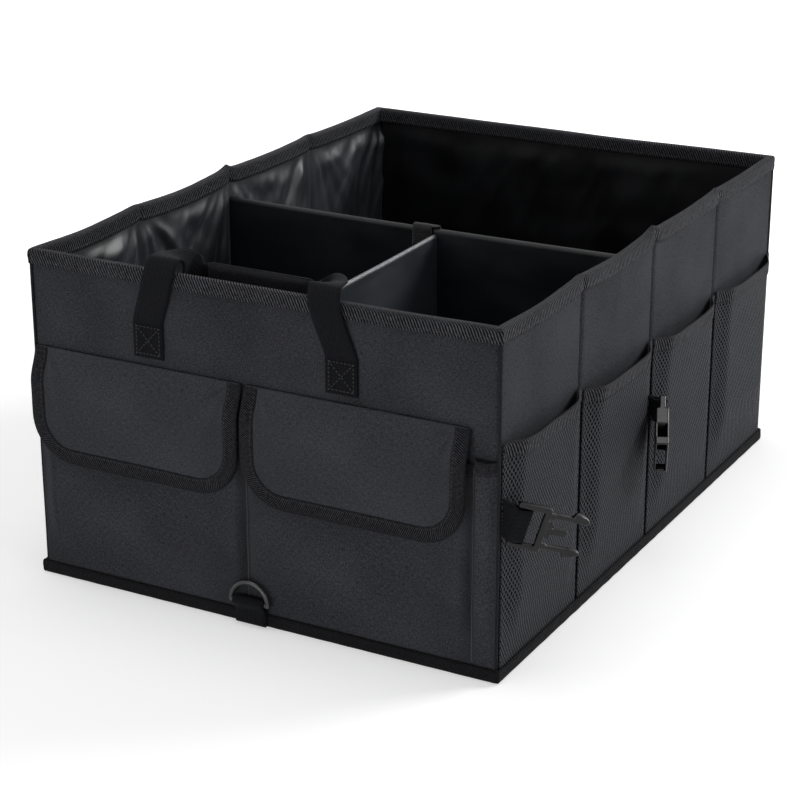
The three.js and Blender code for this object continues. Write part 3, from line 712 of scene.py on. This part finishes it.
def wrapped_board(name, length, section, place, finish, replaces, columns, rows):
    """A board wrapped in cloth: section is the closed line of its cut face, a list of points."""
    around = [Vector((*point, 0)) for point in section]
    around.append(around[0])
    marks = [0.0]
    for a, b in zip(around, around[1:]):
        marks.append(marks[-1] + (b - a).length)

    def edge(s):
        want = s * marks[-1]
        for i in range(len(around) - 1):
            if want <= marks[i + 1] + 1e-6:
                share = (want - marks[i]) / (marks[i + 1] - marks[i])
                return around[i].lerp(around[i + 1], share)
        return around[-1]

    def point(s, t):
        cut = edge(s)
        return place(cut.x, cut.y, (t - 0.5) * length)

    shape = close_ends(spread(columns, rows, (marks[-1], length), point, closed=True))
    bmesh.ops.recalc_face_normals(shape, faces=shape.faces)
    return add_piece(name, shape, finish, replaces=replaces, angle=60)


def rounded(half_x, low, high, radius, steps=4):
    """The outline of a board's cut face, with round edges."""
    outline = []
    corners = ((half_x, low, -90), (half_x, high, 0), (-half_x, high, 90), (-half_x, low, 180))
    for x, z, start in corners:
        cx = x - math.copysign(radius, x)
        cz = z + (radius if z == low else -radius)
        for i in range(steps + 1):
            angle = math.radians(start + 90 * i / steps)
            outline.append((cx + radius * math.cos(angle), cz + radius * math.sin(angle)))
    return outline


def slack_face(along, z, low, high, seed, depth):
    """The slack of the cloth on a divider's face, none at its edges."""
    held = ease((z - low) / 25) * ease((high - z) / 12)
    slack = ripple(along, z, seed, 55) + 0.5 * ripple(along * 0.6 + z * 0.5, z, seed + 3, 21)
    return depth * slack * held


def cross_place(thick, z, along):
    end = ease((183.7 - abs(along)) / 6)
    slack = math.copysign(slack_face(along, z, 5, 231.5, 2.5, 0.45), thick) * end
    dip = -1.1 * (1 - (along / 184) ** 2) * ease((z - 200) / 30)
    return Vector((along, thick + (slack if abs(thick) > 1 else 0), z + dip))


wrapped_board("cross_divider_panel", 367.0, rounded(1.75, 1.3, 232.0, 1.6), cross_place, SHADED_CROSS_DIVIDER_CLOTH,
              ["cross_divider"], 190, 120)


def long_place(thick, z, along):
    y = along - 126.85
    slack = math.copysign(slack_face(along, z, 9, 226.5, 6.1, 0.6), thick)
    dip = -0.9 * math.sin(math.pi * (along / 249.4 + 0.5)) * ease((z - 190) / 35)
    return Vector((6.5 + thick + (slack if abs(thick) > 1 else 0), y, z + dip))


wrapped_board("long_divider_panel", 249.2, rounded(1.75, 5.1, 227.0, 1.6), long_place, LIT_LONG_DIVIDER_CLOTH,
              ["long_divider"], 190, 90)


def base_place(side):
    def place(x, z, along):
        top = 0.25 * ripple(x, along, 3.3 * side, 45) if z > 3 else 0
        return Vector((x, along + side * 126.9, z + top))
    return place


# The base panels take the shaded copy of the lining: painted shade.
for name, side in (("front", -1), ("rear", 1)):
    wrapped_board(f"{name}_base_panel", 248.4, rounded(183.1, 1.25, 4.65, 1.4), base_place(side), SHADED_END_LINING,
                  [f"{name}_base_board"], 260, 80)


# The tape tab over the cross divider, from its one lower edge over the top to the other
TAB_SECTION = Line([(-3.0, 0, 216), (-3.0, 0, 226), (-2.9, 0, 231.5), (-1.8, 0, 233.2), (0, 0, 233.5),
                    (1.8, 0, 233.2), (2.9, 0, 231.5), (3.0, 0, 226), (3.0, 0, 216)])


def tab_place(s, t):
    point = TAB_SECTION.at(t)
    x = lerp(-12.6, 4.2 if point.x < -1.9 else 8.6, s)
    return Vector((x, point.x, point.z - 1.0 + 0.25 * ripple(x, point.z, 2.0, 8)))


add_piece("divider_tape_tab", spread(10, 30, (21, 42), tab_place), PILE,
          replaces=["divider_tab"], ply=0.8, offset=1.0)


# Pockets of the front

FRONT_POCKET_DEPTH = 5.4


def pocket_rise(u, start, end, ease_start, ease_end):
    """0 at a pocket's sewn sides and 1 where it stands off in full."""
    return ease((u - start) / ease_start) * ease((end - u) / ease_end)


def pocket_face(u, z, *sides):
    """How far the face of a front pocket stands from the wall."""
    fall = ease((z - 11) / 52)
    slack = 0.35 * ripple(u, z * 0.5, 4.7, 30) + 0.5 * ripple(u, z, 1.3, 75)
    crease = 0.9 * hump(u + 172, 1.3) + 0.9 * hump(u - 168.6, 1.0)
    return 1.35 + (FRONT_POCKET_DEPTH + slack - crease) * pocket_rise(u, *sides) * fall


def front_pocket(name, start, end, mouth, ease_start, ease_end, columns):
    sides = (start, end, ease_start, ease_end)

    def across(s):
        return lerp(start, end, 0.5 - 0.5 * math.cos(math.pi * s))

    def place(s, t):
        u, z = across(s), lerp(FOOT, mouth, t)
        return wall_point("front", u, pocket_face(u, z, *sides), z)

    shape = spread(columns, 52, (end - start, mouth - FOOT), place)
    piece = add_piece(f"{name}_cloth", shape, OUTER, replaces=[name], ply=CLOTH_PLY)
    section = Line([(0.35, 0, -9), (0.5, 0, -4), (0.4, 0, 0), (-0.4, 0, 0.7), (-1.2, 0, 0), (-1.3, 0, -5),
                    (-1.2, 0, -9)])

    def hem_place(s, t):
        u, point = across(s), section.at(t)
        return wall_point("front", u, max(pocket_face(u, mouth, *sides) + point.x, 0.25), mouth + point.z)

    add_piece(f"{name}_cloth_hem", spread(columns, 12, (end - start, 20), hem_place), SEAM,
              ply=0.25)
    row = []
    for i in range(columns + 1):
        u = lerp(start, end, i / columns)
        out = pocket_face(u, mouth - 7, *sides) + 0.45
        row.append((wall_point("front", u, out, mouth - 7.2), outward("front")))
    return row


mouth_rows = [
    front_pocket("left_pocket", -187.0, -8.3, 157.0, 13.0, 7.0, 96),
    front_pocket("right_pocket", -7.7, 170.0, 157.0, 7.0, 8.0, 96),
    front_pocket("pen_pocket", 170.6, 187.6, 161.0, 4.0, 4.0, 24),
]
stitches("pocket_stitches", mouth_rows, pitch=3.2, size=0.28)
# Dark cords down the valleys beside the pockets: painted shade of the sewn valleys, standing also for their
# stitching.
for seam_name, seam_u in (("pocket_seam_shade_cord", -8.0), ("pen_pocket_seam_shade_cord", 170.3)):
    seam_line = Line([wall_point("front", seam_u, 1.2, z) for z in (11, 60, 110, 156)])
    add_piece(seam_name, tube(seam_line, 0.75, 8, 60), THREAD, angle=180)


# Flaps and their bindings

FLAP_TOP = 182.0
FLAP_FOOT = 97.0
FLAP_CORNER = 34.0
FLAPS = {"left": (-187.0, -10.0, 11.3), "right": (-8.0, 168.0, 27.9)}


def flap_face(side, u, z):
    """How far the outer face of a flap stands from the wall."""
    start, end, seed = FLAPS[side]
    drop = FLAP_TOP - z
    slope = ease(drop / 26)
    out = lerp(2.2, 9.5, slope)
    slack = 0.9 * ripple(u, z, seed, 60) + 0.35 * ripple(u, z, seed + 2, 22)
    for corner, lean in ((start + 12, 1), (end - 12, -1)):
        across, down = (u - corner) * lean, drop - 4
        away = math.hypot(across, down)
        angle = math.atan2(across, max(down, 0.01))
        strength = (2.4 if lean < 0 else 1.5) * ease(drop / 12) * ease(across / 6)
        out += strength * math.sin(angle * 7 + seed) * math.exp(-away / 26)
    return out + max(slack, -0.2) * slope


def flap_foot(side, u):
    start, end, _ = FLAPS[side]
    inside = min(u - start, end - u)
    if inside >= FLAP_CORNER:
        return FLAP_FOOT
    run = FLAP_CORNER - max(inside, 0)
    return FLAP_FOOT + FLAP_CORNER - math.sqrt(max(FLAP_CORNER ** 2 - run ** 2, 0))


def flap_cloth(side):
    start, end, _ = FLAPS[side]

    def place(s, t):
        u = lerp(start + 1.5, end - 1.5, 0.5 - 0.5 * math.cos(math.pi * s))
        z = lerp(flap_foot(side, u) + 1.5, FLAP_TOP, t)
        return wall_point("front", u, flap_face(side, u, z), z)

    shape = spread(120, 60, (end - start, FLAP_TOP - FLAP_FOOT), place)
    piece = add_piece(f"{side}_flap_cloth", shape, FLAP, f"{side}_flap",
                      replaces=[f"{side}_flap"], ply=0.85)
    width, drop = end - start - 3, FLAP_TOP - FLAP_FOOT - 1


def flap_edge(side):
    """The outline of a flap down one side, along the foot and up the other, with inward directions."""
    start, end, _ = FLAPS[side]
    corner_top = FLAP_FOOT + FLAP_CORNER

    def arc(middle, first):
        for i in range(15):
            angle = math.radians(first + 90 * i / 14)
            x, y = math.cos(angle), math.sin(angle)
            points.append((middle + FLAP_CORNER * x, corner_top + FLAP_CORNER * y, -x, -y))

    points = [(start, lerp(FLAP_TOP - 0.5, corner_top, i / 16), 1.0, 0.0) for i in range(16)]
    arc(start + FLAP_CORNER, 180)
    run = end - start - 2 * FLAP_CORNER
    points += [(start + FLAP_CORNER + run * i / 36, FLAP_FOOT, 0.0, 1.0) for i in range(1, 36)]
    arc(end - FLAP_CORNER, 270)
    return points + [(end, lerp(corner_top, FLAP_TOP - 0.5, i / 16), -1.0, 0.0) for i in range(1, 17)]


def flap_tape(side):
    edge = flap_edge(side)
    last = len(edge) - 1
    section = Line([(11.2, -0.05, 0), (10.8, 0.5, 0), (6, 0.75, 0), (1.6, 0.7, 0), (0.2, 0.2, 0),
                    (0.0, -0.6, 0), (0.6, -1.35, 0), (4, -1.6, 0), (10.6, -1.45, 0)])

    def at(step, inward, lift):
        u, z, du, dz = edge[step]
        u, z = u + du * inward, z + dz * inward
        return wall_point("front", u, flap_face(side, u, z) + lift, z)

    def place(s, t):
        cut = section.at(t)
        step = round(s * last)
        wave = 0.12 * noise.noise(Vector((step * 0.4, cut.x * 0.3, 3.0)))
        return at(step, cut.x, cut.y + (wave if cut.y > 0 else -wave))

    length = sum(math.dist(a[:2], b[:2]) for a, b in zip(edge, edge[1:]))
    shape = spread(last, 18, (length, 24), place)
    bmesh.ops.recalc_face_normals(shape, faces=shape.faces)
    add_piece(f"{side}_flap_tape", shape, FLAP_TAPE, f"{side}_flap",
              replaces=[f"{side}_flap_binding"], angle=60, ply=0.3, offset=0.0)
    row = [(at(step, 9.4, 0.75), outward("front")) for step in range(last + 1)]
    stitches(f"{side}_flap_stitches", [row], f"{side}_flap")


def patch_place(low, high, foot, top, out, ply):
    """A small patch with its edges turned in."""
    def place(s, t):
        u, z = lerp(low, high, s), lerp(foot, top, t)
        edge = min(s, 1 - s, t, 1 - t)
        return wall_point("front", u, out + ply * ease(edge * 14), z)
    return place


for side, (start, end, _) in FLAPS.items():
    flap_cloth(side)
    flap_tape(side)
    centre = (start + end) / 2
    hooks = patch_place(centre + 25, centre - 25, 114, 134, 8.55, -0.6)
    add_piece(f"{side}_hook_patch", spread(40, 16, (50, 20), hooks), PILE, f"{side}_flap",
              replaces=[f"{side}_flap_hook_patch"], ply=0.3)
    loops = patch_place(centre - 25, centre + 25, 114, 134, 6.6, 0.75)
    add_piece(f"{side}_loop_patch", spread(40, 16, (50, 20), loops), PILE, ply=0.3)


# Mesh pockets of the long sides

MESH_TOPS = (174.0, 170.0, 169.0, 171.0)


def mesh_pocket(wall, number):
    slot = number if wall == "right" else 3 - number
    start, end = PANEL_ENDS[slot] + 2.2, PANEL_ENDS[slot + 1] - 2.2
    mouth, seed = MESH_TOPS[number], 3.7 * number + (0.0 if wall == "right" else 20.0)

    def point(u, z, out):
        """A point that stands proud of the mesh, which bellies out and sags a little."""
        rise = pocket_rise(u, start, end, 22, 22)
        slack = 0.5 * ripple(u, z * 0.6, seed, 40)
        gape = 1.2 * ease((z - mouth + 40) / 40)
        face = 0.6 + (6.3 + slack + gape * rise) * rise * ease((z - 12) / 55)
        sag = 3.0 * pocket_rise(u, start, end, 40, 40) + 0.5 * ripple(u, 0, seed, 25)
        return wall_point(wall, u, face + out, z - sag * z / mouth)

    def place(s, t):
        return point(lerp(start, end, s), lerp(FOOT + 1, mouth - 1, t), 0.75)

    shape = spread(56, 60, (end - start + 6, mouth), place)
    name = f"{wall}_mesh_pocket_{number + 1}"
    piece = add_piece(f"{name}_net", shape, MESH, replaces=[name], ply=0.55)
    (end - start + 6) * MM
    section = Line([(1.3, 0, -11), (1.45, 0, -5), (1.4, 0, -0.8), (0.7, 0, 0), (0.1, 0, -0.8), (0.0, 0, -5),
                    (0.0, 0, -11)])

    def tape_place(s, t):
        u, cut = lerp(start, end, s), section.at(t)
        z = mouth + cut.z
        return point(u, z, cut.x + 0.15 * ripple(u, z, seed + 5, 10))

    add_piece(f"{name}_tape", spread(56, 14, (end - start, 23), tape_place), RIM_TAPE,
              ply=0.25)
    return [(point(lerp(start, end, i / 56), mouth - 9, 1.5), outward(wall)) for i in range(57)]


for wall in LONG_WALLS:
    stitches(f"{wall}_mesh_stitches", [mesh_pocket(wall, number) for number in range(4)], size=0.3)


# Carrying handles

HANDLE_X = -8.5
HANDLE_HALF = 78.5
SEWN = (188.0, 200.0, 210.0, 214.0)


def twisted(degrees):
    angle = math.radians(degrees)
    return (math.cos(angle), 0, math.sin(angle))


def both_ways(stops):
    """A handle's line, given from its sewn end to its grip, with its mirror image added."""
    centres = [point for point, _ in stops]
    acrosses = [across for _, across in stops]
    mirrored = [[(-x, y, z) for x, y, z in reversed(line)] for line in (centres, acrosses)]
    return centres + mirrored[0], acrosses + mirrored[1]


def wall_turn(wall, shift=0.0):
    """The placing of a piece drawn on a front wall: x along the wall, y inward from its face."""
    angle = math.radians(TURN[wall])
    away = Vector((math.sin(angle), -math.cos(angle), 0)) * REACH[wall]
    return Matrix.Translation(away) @ Matrix.Rotation(angle, 4, "Z") @ Matrix.Translation((shift, 0, 0))


def box_stitch(turn, x):
    """The square and cross sewn through the end of a handle."""
    out = turn.to_3x3() @ Vector((0, -1, 0))
    half, low, high, y = STRAP_WIDTH / 2 - 3, SEWN[0] + 3, SEWN[-1] - 3, -1.95

    def run(*corners):
        return [(turn @ Vector((x + u, y, z)), out) for u, z in corners]

    return [run((-half, low), (half, low), (half, high), (-half, high), (-half, low)),
            run((-half, low), (half, high)), run((-half, high), (half, low))]


def grip_place(turn, grip_y, grip_z, seed):
    """A padded sleeve: a flat tube that is full in its middle and pulled in at its ends."""
    def place(s, t):
        angle = 2 * math.pi * s
        x = lerp(-42, 42, t)
        end = min(t, 1 - t)
        full = 0.62 + 0.38 * ease(end * 7)
        across, up = math.cos(angle), math.sin(angle)
        flat = math.copysign(abs(up) ** 0.8, up)
        thick = math.copysign(abs(across) ** 0.75, across)
        pucker = 0.35 * noise.noise(Vector((x / 7, angle * 1.2, seed))) * (0.4 + 0.6 * abs(across))
        y = grip_y + thick * (3.0 * full + pucker)
        z = grip_z + flat * (13.6 + 0.25 * noise.noise(Vector((x / 9, seed, up))))
        return turn @ Vector((x, y, z))
    return place


def carrying_handle(wall, stops, grip_y, grip_z, grip_across):
    shift = HANDLE_X if wall == "front" else -HANDLE_X
    turn = wall_turn(wall, shift)
    sewn = [((-HANDLE_HALF, -1.0, z), twisted(0)) for z in SEWN]
    grip = [((-x, grip_y, grip_z), grip_across) for x in (46.0, 42.0, 14.0)]
    centres, acrosses = both_ways(sewn + stops + grip)
    shape = ribbon(centres, acrosses, 240)
    bmesh.ops.transform(shape, matrix=turn, verts=shape.verts)
    add_piece(f"{wall}_handle_strap", shape, WEBBING, replaces=[f"{wall}_handle"],
              ply=1.35, offset=0.0)
    rows = []
    for x in (-HANDLE_HALF, HANDLE_HALF):
        rows += box_stitch(turn, x)
    stitches(f"{wall}_handle_stitches", rows, pitch=3.0, size=0.4)
    sleeve = spread(40, 72, (62, 84), grip_place(turn, grip_y, grip_z, 2.0 + grip_y), closed=True)
    bmesh.ops.recalc_face_normals(sleeve, faces=sleeve.faces)
    piece = add_piece(f"{wall}_grip_sleeve", sleeve, SEAM,
                      replaces=[f"{wall}_handle_grip"], angle=80, ply=1.0)
    seam = Line([turn @ Vector((x, grip_y - 0.2, grip_z + 13.5)) for x in (-40, -25, -8, 10, 26, 40)])
    add_piece(f"{wall}_grip_seam", tube(seam, 0.75, 8, 50), SEAM)


FRONT_BENDS = [((-70.5, -3.2, 238.0), twisted(0)), ((-66.5, -3.2, 252.0), twisted(0)),
               ((-64.5, 2.3, 262.0), twisted(0)), ((-62.0, 12.0, 261.0), (0.9, -0.4, -0.1)),
               ((-56.0, 20.0, 254.5), (0.11, -0.79, -0.6)), ((-51.5, 22.5, 247.5), (-0.12, -0.4, -0.91))]
REAR_BENDS = [((-75.5, -5.6, 227.0), twisted(0)), ((-70.5, -13.6, 225.0), twisted(8.5)),
              ((-60.5, -17.0, 214.0), twisted(41))]
carrying_handle("front", FRONT_BENDS, 24.0, 243.5, twisted(-90))
carrying_handle("rear", REAR_BENDS, -17.0, 207.0, twisted(90))


# Tie-down rings and their tabs

RING_RADIUS, RING_WIRE = 15.2, 1.8
RING_Y, RING_Z = -7.1, 19.0
TAB_BEND = 2.9


def tie_down(wall, shift):
    """A ring of plastic wire and the webbing tab that holds its straight side."""
    turn = wall_turn(wall, shift)

    def on_ring(x, z):
        return turn @ Vector((x, RING_Y, RING_Z + z))

    half_turn = [math.pi * i / 24 for i in range(25)]
    bow = Line([on_ring(RING_RADIUS * math.cos(angle), RING_RADIUS * math.sin(angle)) for angle in half_turn])
    shape = tube(bow, RING_WIRE, 14, 72)
    straight = tube(Line([on_ring(x, 0) for x in (-15.9, -8, 0, 8, 15.9)]), RING_WIRE, 14, 12)
    mesh = bpy.data.meshes.new("bar")
    straight.to_mesh(mesh)
    straight.free()
    shape.from_mesh(mesh)
    bpy.data.meshes.remove(mesh)
    for x in (-RING_RADIUS, RING_RADIUS):
        at = Matrix.Translation(on_ring(x, 0))
        bmesh.ops.create_uvsphere(shape, u_segments=14, v_segments=10, radius=1.95, matrix=at)
    add_piece(f"{wall}_tie_ring_wire", shape, RING, f"{wall}_tie_ring",
              replaces=[f"{wall}_tie_ring"], angle=180)
    points = [(0, RING_Y + TAB_BEND, z) for z in (1.2, 9, 17)]
    for i in range(9):
        angle = math.radians(-10 + 205 * i / 8)
        points.append((0, RING_Y + TAB_BEND * math.cos(angle), RING_Z + TAB_BEND * math.sin(angle)))
    points += [(0, RING_Y + y, z) for y, z in ((-0.9, 15.2), (0.9, 12.5), (1.4, 9.5), (1.5, 1.2))]
    strap = ribbon(points, [(1, 0, 0)] * len(points), 90)
    bmesh.ops.transform(strap, matrix=turn, verts=strap.verts)
    add_piece(f"{wall}_ring_tab_strap", strap, WEBBING, replaces=[f"{wall}_ring_tab"],
              ply=STRAP_PLY, offset=0.0)


tie_down("front", -4.5)
tie_down("rear", 4.5)


# Straps and side-release buckles of the long sides

BUCKLE_WIDTH = 34.0
# Where each half hangs: along the wall, out from it and up, and how far it faces away from the wall's
# line, droops and rolls, in degrees
PRONGS_SEAT = {"along": -253.5, "out": 10.8, "z": 119.0, "facing": 34, "droop": 15, "roll": 9}
SOCKET_SEAT = {"along": 0.0, "out": 11.0, "z": 114.0, "facing": -67, "droop": 30, "roll": 0}


def buckle_turn(wall, along, out, z, facing, droop, roll):
    """The placing of a buckle: its own X runs from its bar to its tip and Z along its bar."""
    turn = wall_turn(wall) @ Matrix.Translation((along, -out, z))
    for angle, axis in ((facing - 90, "Z"), (droop, "Y"), (roll, "X")):
        turn = turn @ Matrix.Rotation(math.radians(angle), 4, axis)
    return turn


def bar_of_plastic(shape, low, high, bevel):
    """A block of the moulding with its edges rounded."""
    size = Vector(high) - Vector(low)
    centre = (Vector(high) + Vector(low)) / 2
    at = Matrix.Translation(centre) @ Matrix.Diagonal((*size, 1))
    made = bmesh.ops.create_cube(shape, size=1, matrix=at)["verts"]
    edges = list({edge for vert in made for edge in vert.link_edges})
    bmesh.ops.bevel(shape, geom=edges, offset=bevel, affect="EDGES", segments=3, profile=0.5, material=-1)


def plate_of_plastic(shape, outline, half, bevel):
    """A flat outline in X and Z given thickness and rounded edges."""
    verts = [shape.verts.new((x, -half, z)) for x, z in outline]
    face = shape.faces.new(verts)
    raised = bmesh.ops.extrude_face_region(shape, geom=[face])["geom"]
    top = [item for item in raised if isinstance(item, bmesh.types.BMVert)]
    bmesh.ops.translate(shape, vec=(0, 2 * half, 0), verts=top)
    faces = {f for vert in verts + top for f in vert.link_faces}
    bmesh.ops.recalc_face_normals(shape, faces=list(faces))
    caps = [f for f in faces if len(f.verts) == len(outline)]
    edges = [edge for f in caps for edge in f.edges]
    bmesh.ops.bevel(shape, geom=edges, offset=bevel, affect="EDGES", segments=2, profile=0.5, material=-1)


def buckle_frame(shape, length):
    """The two rails of a buckle and the bar that its strap goes round."""
    for side in (-1, 1):
        z = side * (BUCKLE_WIDTH / 2 - 1.75)
        bar_of_plastic(shape, (-2.1, -2.5, z - 1.75), (length, 2.5, z + 1.75), 0.9)
    bmesh.ops.create_cone(shape, cap_ends=True, segments=20, radius1=2.0, radius2=2.0, depth=BUCKLE_WIDTH - 1)


def hook_arm(side):
    """The outline of a prong: a slim arm that ends in a hooked tip."""
    line = Line([(20.5, 0, 13.3), (26, 0, 13.9), (32, 0, 13.9), (35.6, 0, 14.1), (36.9, 0, 16.6),
                 (39.5, 0, 16.9), (43.5, 0, 15.9), (46.8, 0, 13.9), (48, 0, 12.2), (46.4, 0, 10.9),
                 (42, 0, 10.4), (37, 0, 10.9), (30, 0, 11.0), (24, 0, 10.7), (20.5, 0, 10.2)])
    points = [line.at(i / 48) for i in range(49)]
    outline = [(point.x, side * point.z) for point in points]
    return outline if side > 0 else outline[::-1]


def pronged_half():
    shape = bmesh.new()
    buckle_frame(shape, 21.0)
    bar_of_plastic(shape, (16.5, -2.5, -16.7), (21.0, 2.5, 16.7), 0.9)
    bar_of_plastic(shape, (20.0, -1.5, -2.3), (36.0, 1.5, 2.3), 0.7)
    bar_of_plastic(shape, (20.0, -0.7, -6.0), (25.0, 0.7, 6.0), 0.4)
    for side in (-1, 1):
        plate_of_plastic(shape, hook_arm(side), 2.2, 0.6)
        bar_of_plastic(shape, (20.0, -2.3, side * 11.9 - 2.1), (24.0, 2.3, side * 11.9 + 2.1), 0.7)
    return shape


def socket_half():
    shape = bmesh.new()
    buckle_frame(shape, 11.0)
    bar_of_plastic(shape, (9.6, -5.0, -17.0), (12.4, 5.0, 17.0), 1.1)
    for side in (-1, 1):
        bar_of_plastic(shape, (10.5, side * 4.2 - 0.8, -16.9), (45.0, side * 4.2 + 0.8, 16.9), 0.7)
        bar_of_plastic(shape, (10.5, -4.9, side * 16.2 - 0.8), (25.2, 4.9, side * 16.2 + 0.8), 0.7)
        bar_of_plastic(shape, (37.8, -4.9, side * 16.2 - 0.8), (45.0, 4.9, side * 16.2 + 0.8), 0.7)
        bar_of_plastic(shape, (24.0, side * 4.3 - 0.7, 15.4), (39.0, side * 4.3 + 0.7, 17.0), 0.5)
        bar_of_plastic(shape, (24.0, side * 4.3 - 0.7, -17.0), (39.0, side * 4.3 + 0.7, -15.4), 0.5)
    return shape


def moulded(piece):
    """Melts the blocks of a buckle into one moulding."""
    melt = piece.modifiers.new("moulding", "REMESH")
    melt.mode = "VOXEL"
    melt.voxel_size = 0.42 * MM
    melt.use_smooth_shade = True
    soften = piece.modifiers.new("polish", "SMOOTH")
    soften.factor = 0.5
    soften.iterations = 4


def strap_loop(wall, turn, tail_turn, stop):
    """Webbing folded round the buckle's bar and back, cut off where it comes out of the wall."""
    tail = Matrix.Rotation(math.radians(tail_turn), 3, "Z")
    line = [(-16.0, 0.75, 0), (-8.0, 0.8, 0), (-4.5, 1.5, 0)]
    points = [tail @ Vector(point) for point in line]
    points += [Vector((x, y, 0)) for x, y in ((-1.0, 3.0), (3.0, 2.7), (6.5, 1.7), (8.6, 0), (6.5, -1.7),
                                              (3.0, -2.7), (-1.0, -3.0))]
    points += [tail @ Vector((x, -y, 0)) for x, y, _ in reversed(line)]
    shape = ribbon(points, [(0, 0, 1)] * len(points), 90)
    bmesh.ops.transform(shape, matrix=turn, verts=shape.verts)
    everything = [*shape.verts, *shape.edges, *shape.faces]
    bmesh.ops.bisect_plane(shape, geom=everything, plane_co=wall_point(wall, 0, stop, 0),
                           plane_no=outward(wall), clear_inner=True)
    return shape


def buckle_and_strap(name, kind, wall, shape, stop, seat):
    """A buckle half on its own body, and the webbing that holds it to the wall."""
    turn = buckle_turn(wall, **seat)
    bmesh.ops.transform(shape, matrix=turn, verts=shape.verts)
    half = "prongs" if kind == "male" else "socket"
    piece = add_piece(f"{name}_{half}", shape, BUCKLE, f"{name}_buckle",
                      replaces=[f"{name}_{kind}_buckle"], angle=180)
    moulded(piece)
    add_piece(f"{name}_strap_loop", strap_loop(wall, turn, -seat["facing"], stop), WEBBING,
              replaces=[f"{name}_strap"], ply=STRAP_PLY, offset=0.0)


for wall, end in (("right", "front"), ("left", "rear")):
    buckle_and_strap(f"{wall}_{end}", "male", wall, pronged_half(), 1.8, PRONGS_SEAT)
    buckle_and_strap(f"{wall}_middle", "female", wall, socket_half(), 2.4, SOCKET_SEAT)


# Solids that stay in sight or inside the walls

for name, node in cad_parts.items():
    if "_board" in name and not node.hide_render:
        node.data.materials.clear()
        node.data.materials.append(BOARD)


# Floor, light and camera

FLOOR_HALF = 9000
WORLD_LIGHT = 0.06
AZIMUTH, ELEVATION, LENS = 28.603, 20.511, 98.8
# The camera's place, in heights of the box: back from the origin, to the left and up
CAMERA_BACK, CAMERA_LEFT, CAMERA_UP = 7.0452, 0.0891, 0.3218


def studio_floor():
    """Pale paper that keeps the object's shadow. Its glow is weaker near the object, a painted shadow round
    the box, and it turns white further away.
    """
    shape = bmesh.new()
    bmesh.ops.create_grid(shape, x_segments=2, y_segments=2, size=FLOOR_HALF)
    paper = Finish("floor_paper", Roughness=0.9, Specular_IOR_Level=0.0, Emission_Strength=1.0)
    place = paper.object_place()
    x, y = [paper.node("ShaderNodeSeparateXYZ", {}, {0: place}, axis) for axis in (0, 1)]
    # The glow is weakest close to the object, so the floor round the box is darker there: a painted shadow.
    glow_with_painted_shadow = paper.span((x * x + y * y) ** 0.5, 0.30, 1.6, 0.45, 1.0)
    fleck = paper.tint(paper.object_cloud(3.0), (0.80, 0.80, 0.80), (0.82, 0.82, 0.82))
    paper.wear(Base_Color=fleck, Emission_Color=paper.seen() * glow_with_painted_shadow)
    make_object("studio_floor", shape, paper.material)


def softbox(name, direction, distance, size, power, target=(0, 0, 0.12)):
    light = bpy.data.lights.new(name, "AREA")
    light.shape = "RECTANGLE"
    light.size, light.size_y = size
    light.energy = power
    lamp = bpy.data.objects.new(name, light)
    toward = Vector(direction).normalized()
    lamp.location = Vector(target) + toward * distance
    lamp.rotation_euler = toward.to_track_quat("Z", "Y").to_euler()
    bpy.context.scene.collection.objects.link(lamp)


def studio_world():
    """A faint even light that shows as white to the camera, to mirrors and through glass."""
    world = bpy.data.worlds.new("studio")
    bpy.context.scene.world = world
    world.use_nodes = True
    sky = Nodes(world.node_tree)
    light, plain = [sky.node("ShaderNodeBackground", {}, {"Color": (1.0, 1.0, 1.0, 1), "Strength": strength})
                    for strength in (WORLD_LIGHT, 1.0)]
    shown = sky.node("ShaderNodeMixShader", {}, {0: sky.seen(), 1: light, 2: plain})
    sky.feed(sky.tree.nodes["World Output"], {"Surface": shown})


def studio_camera():
    azimuth, elevation = math.radians(AZIMUTH), math.radians(ELEVATION)
    back = Vector((math.sin(azimuth) * math.cos(elevation), -math.cos(azimuth) * math.cos(elevation),
                   math.sin(elevation)))
    right = Vector((0, 0, 1)).cross(back).normalized()
    up = back.cross(right)
    away = (back * CAMERA_BACK - right * CAMERA_LEFT + up * CAMERA_UP) * HEIGHT * MM
    camera = bpy.data.cameras.new("camera")
    camera.lens = LENS
    camera.sensor_width = 36
    camera.clip_start, camera.clip_end = 0.05, 60
    made = bpy.data.objects.new("camera", camera)
    made.matrix_world = Matrix.Translation(away) @ Matrix((right, up, back)).transposed().to_4x4()
    bpy.context.scene.collection.objects.link(made)
    bpy.context.scene.camera = made


studio_floor()
studio_world()
studio_camera()
softbox("key", (0.75, 0.80, 0.68), 2.6, (1.0, 0.8), 40)
softbox("overhead", (-0.15, -0.1, 1.0), 2.6, (2.0, 2.0), 36)
softbox("side_fill", (1.0, -0.45, 0.35), 2.8, (0.4, 1.0), 5)
softbox("front_fill", (-0.05, -1.0, 0.03), 2.8, (2.2, 0.36), 18)
bpy.context.scene.view_settings.view_transform = "Standard"
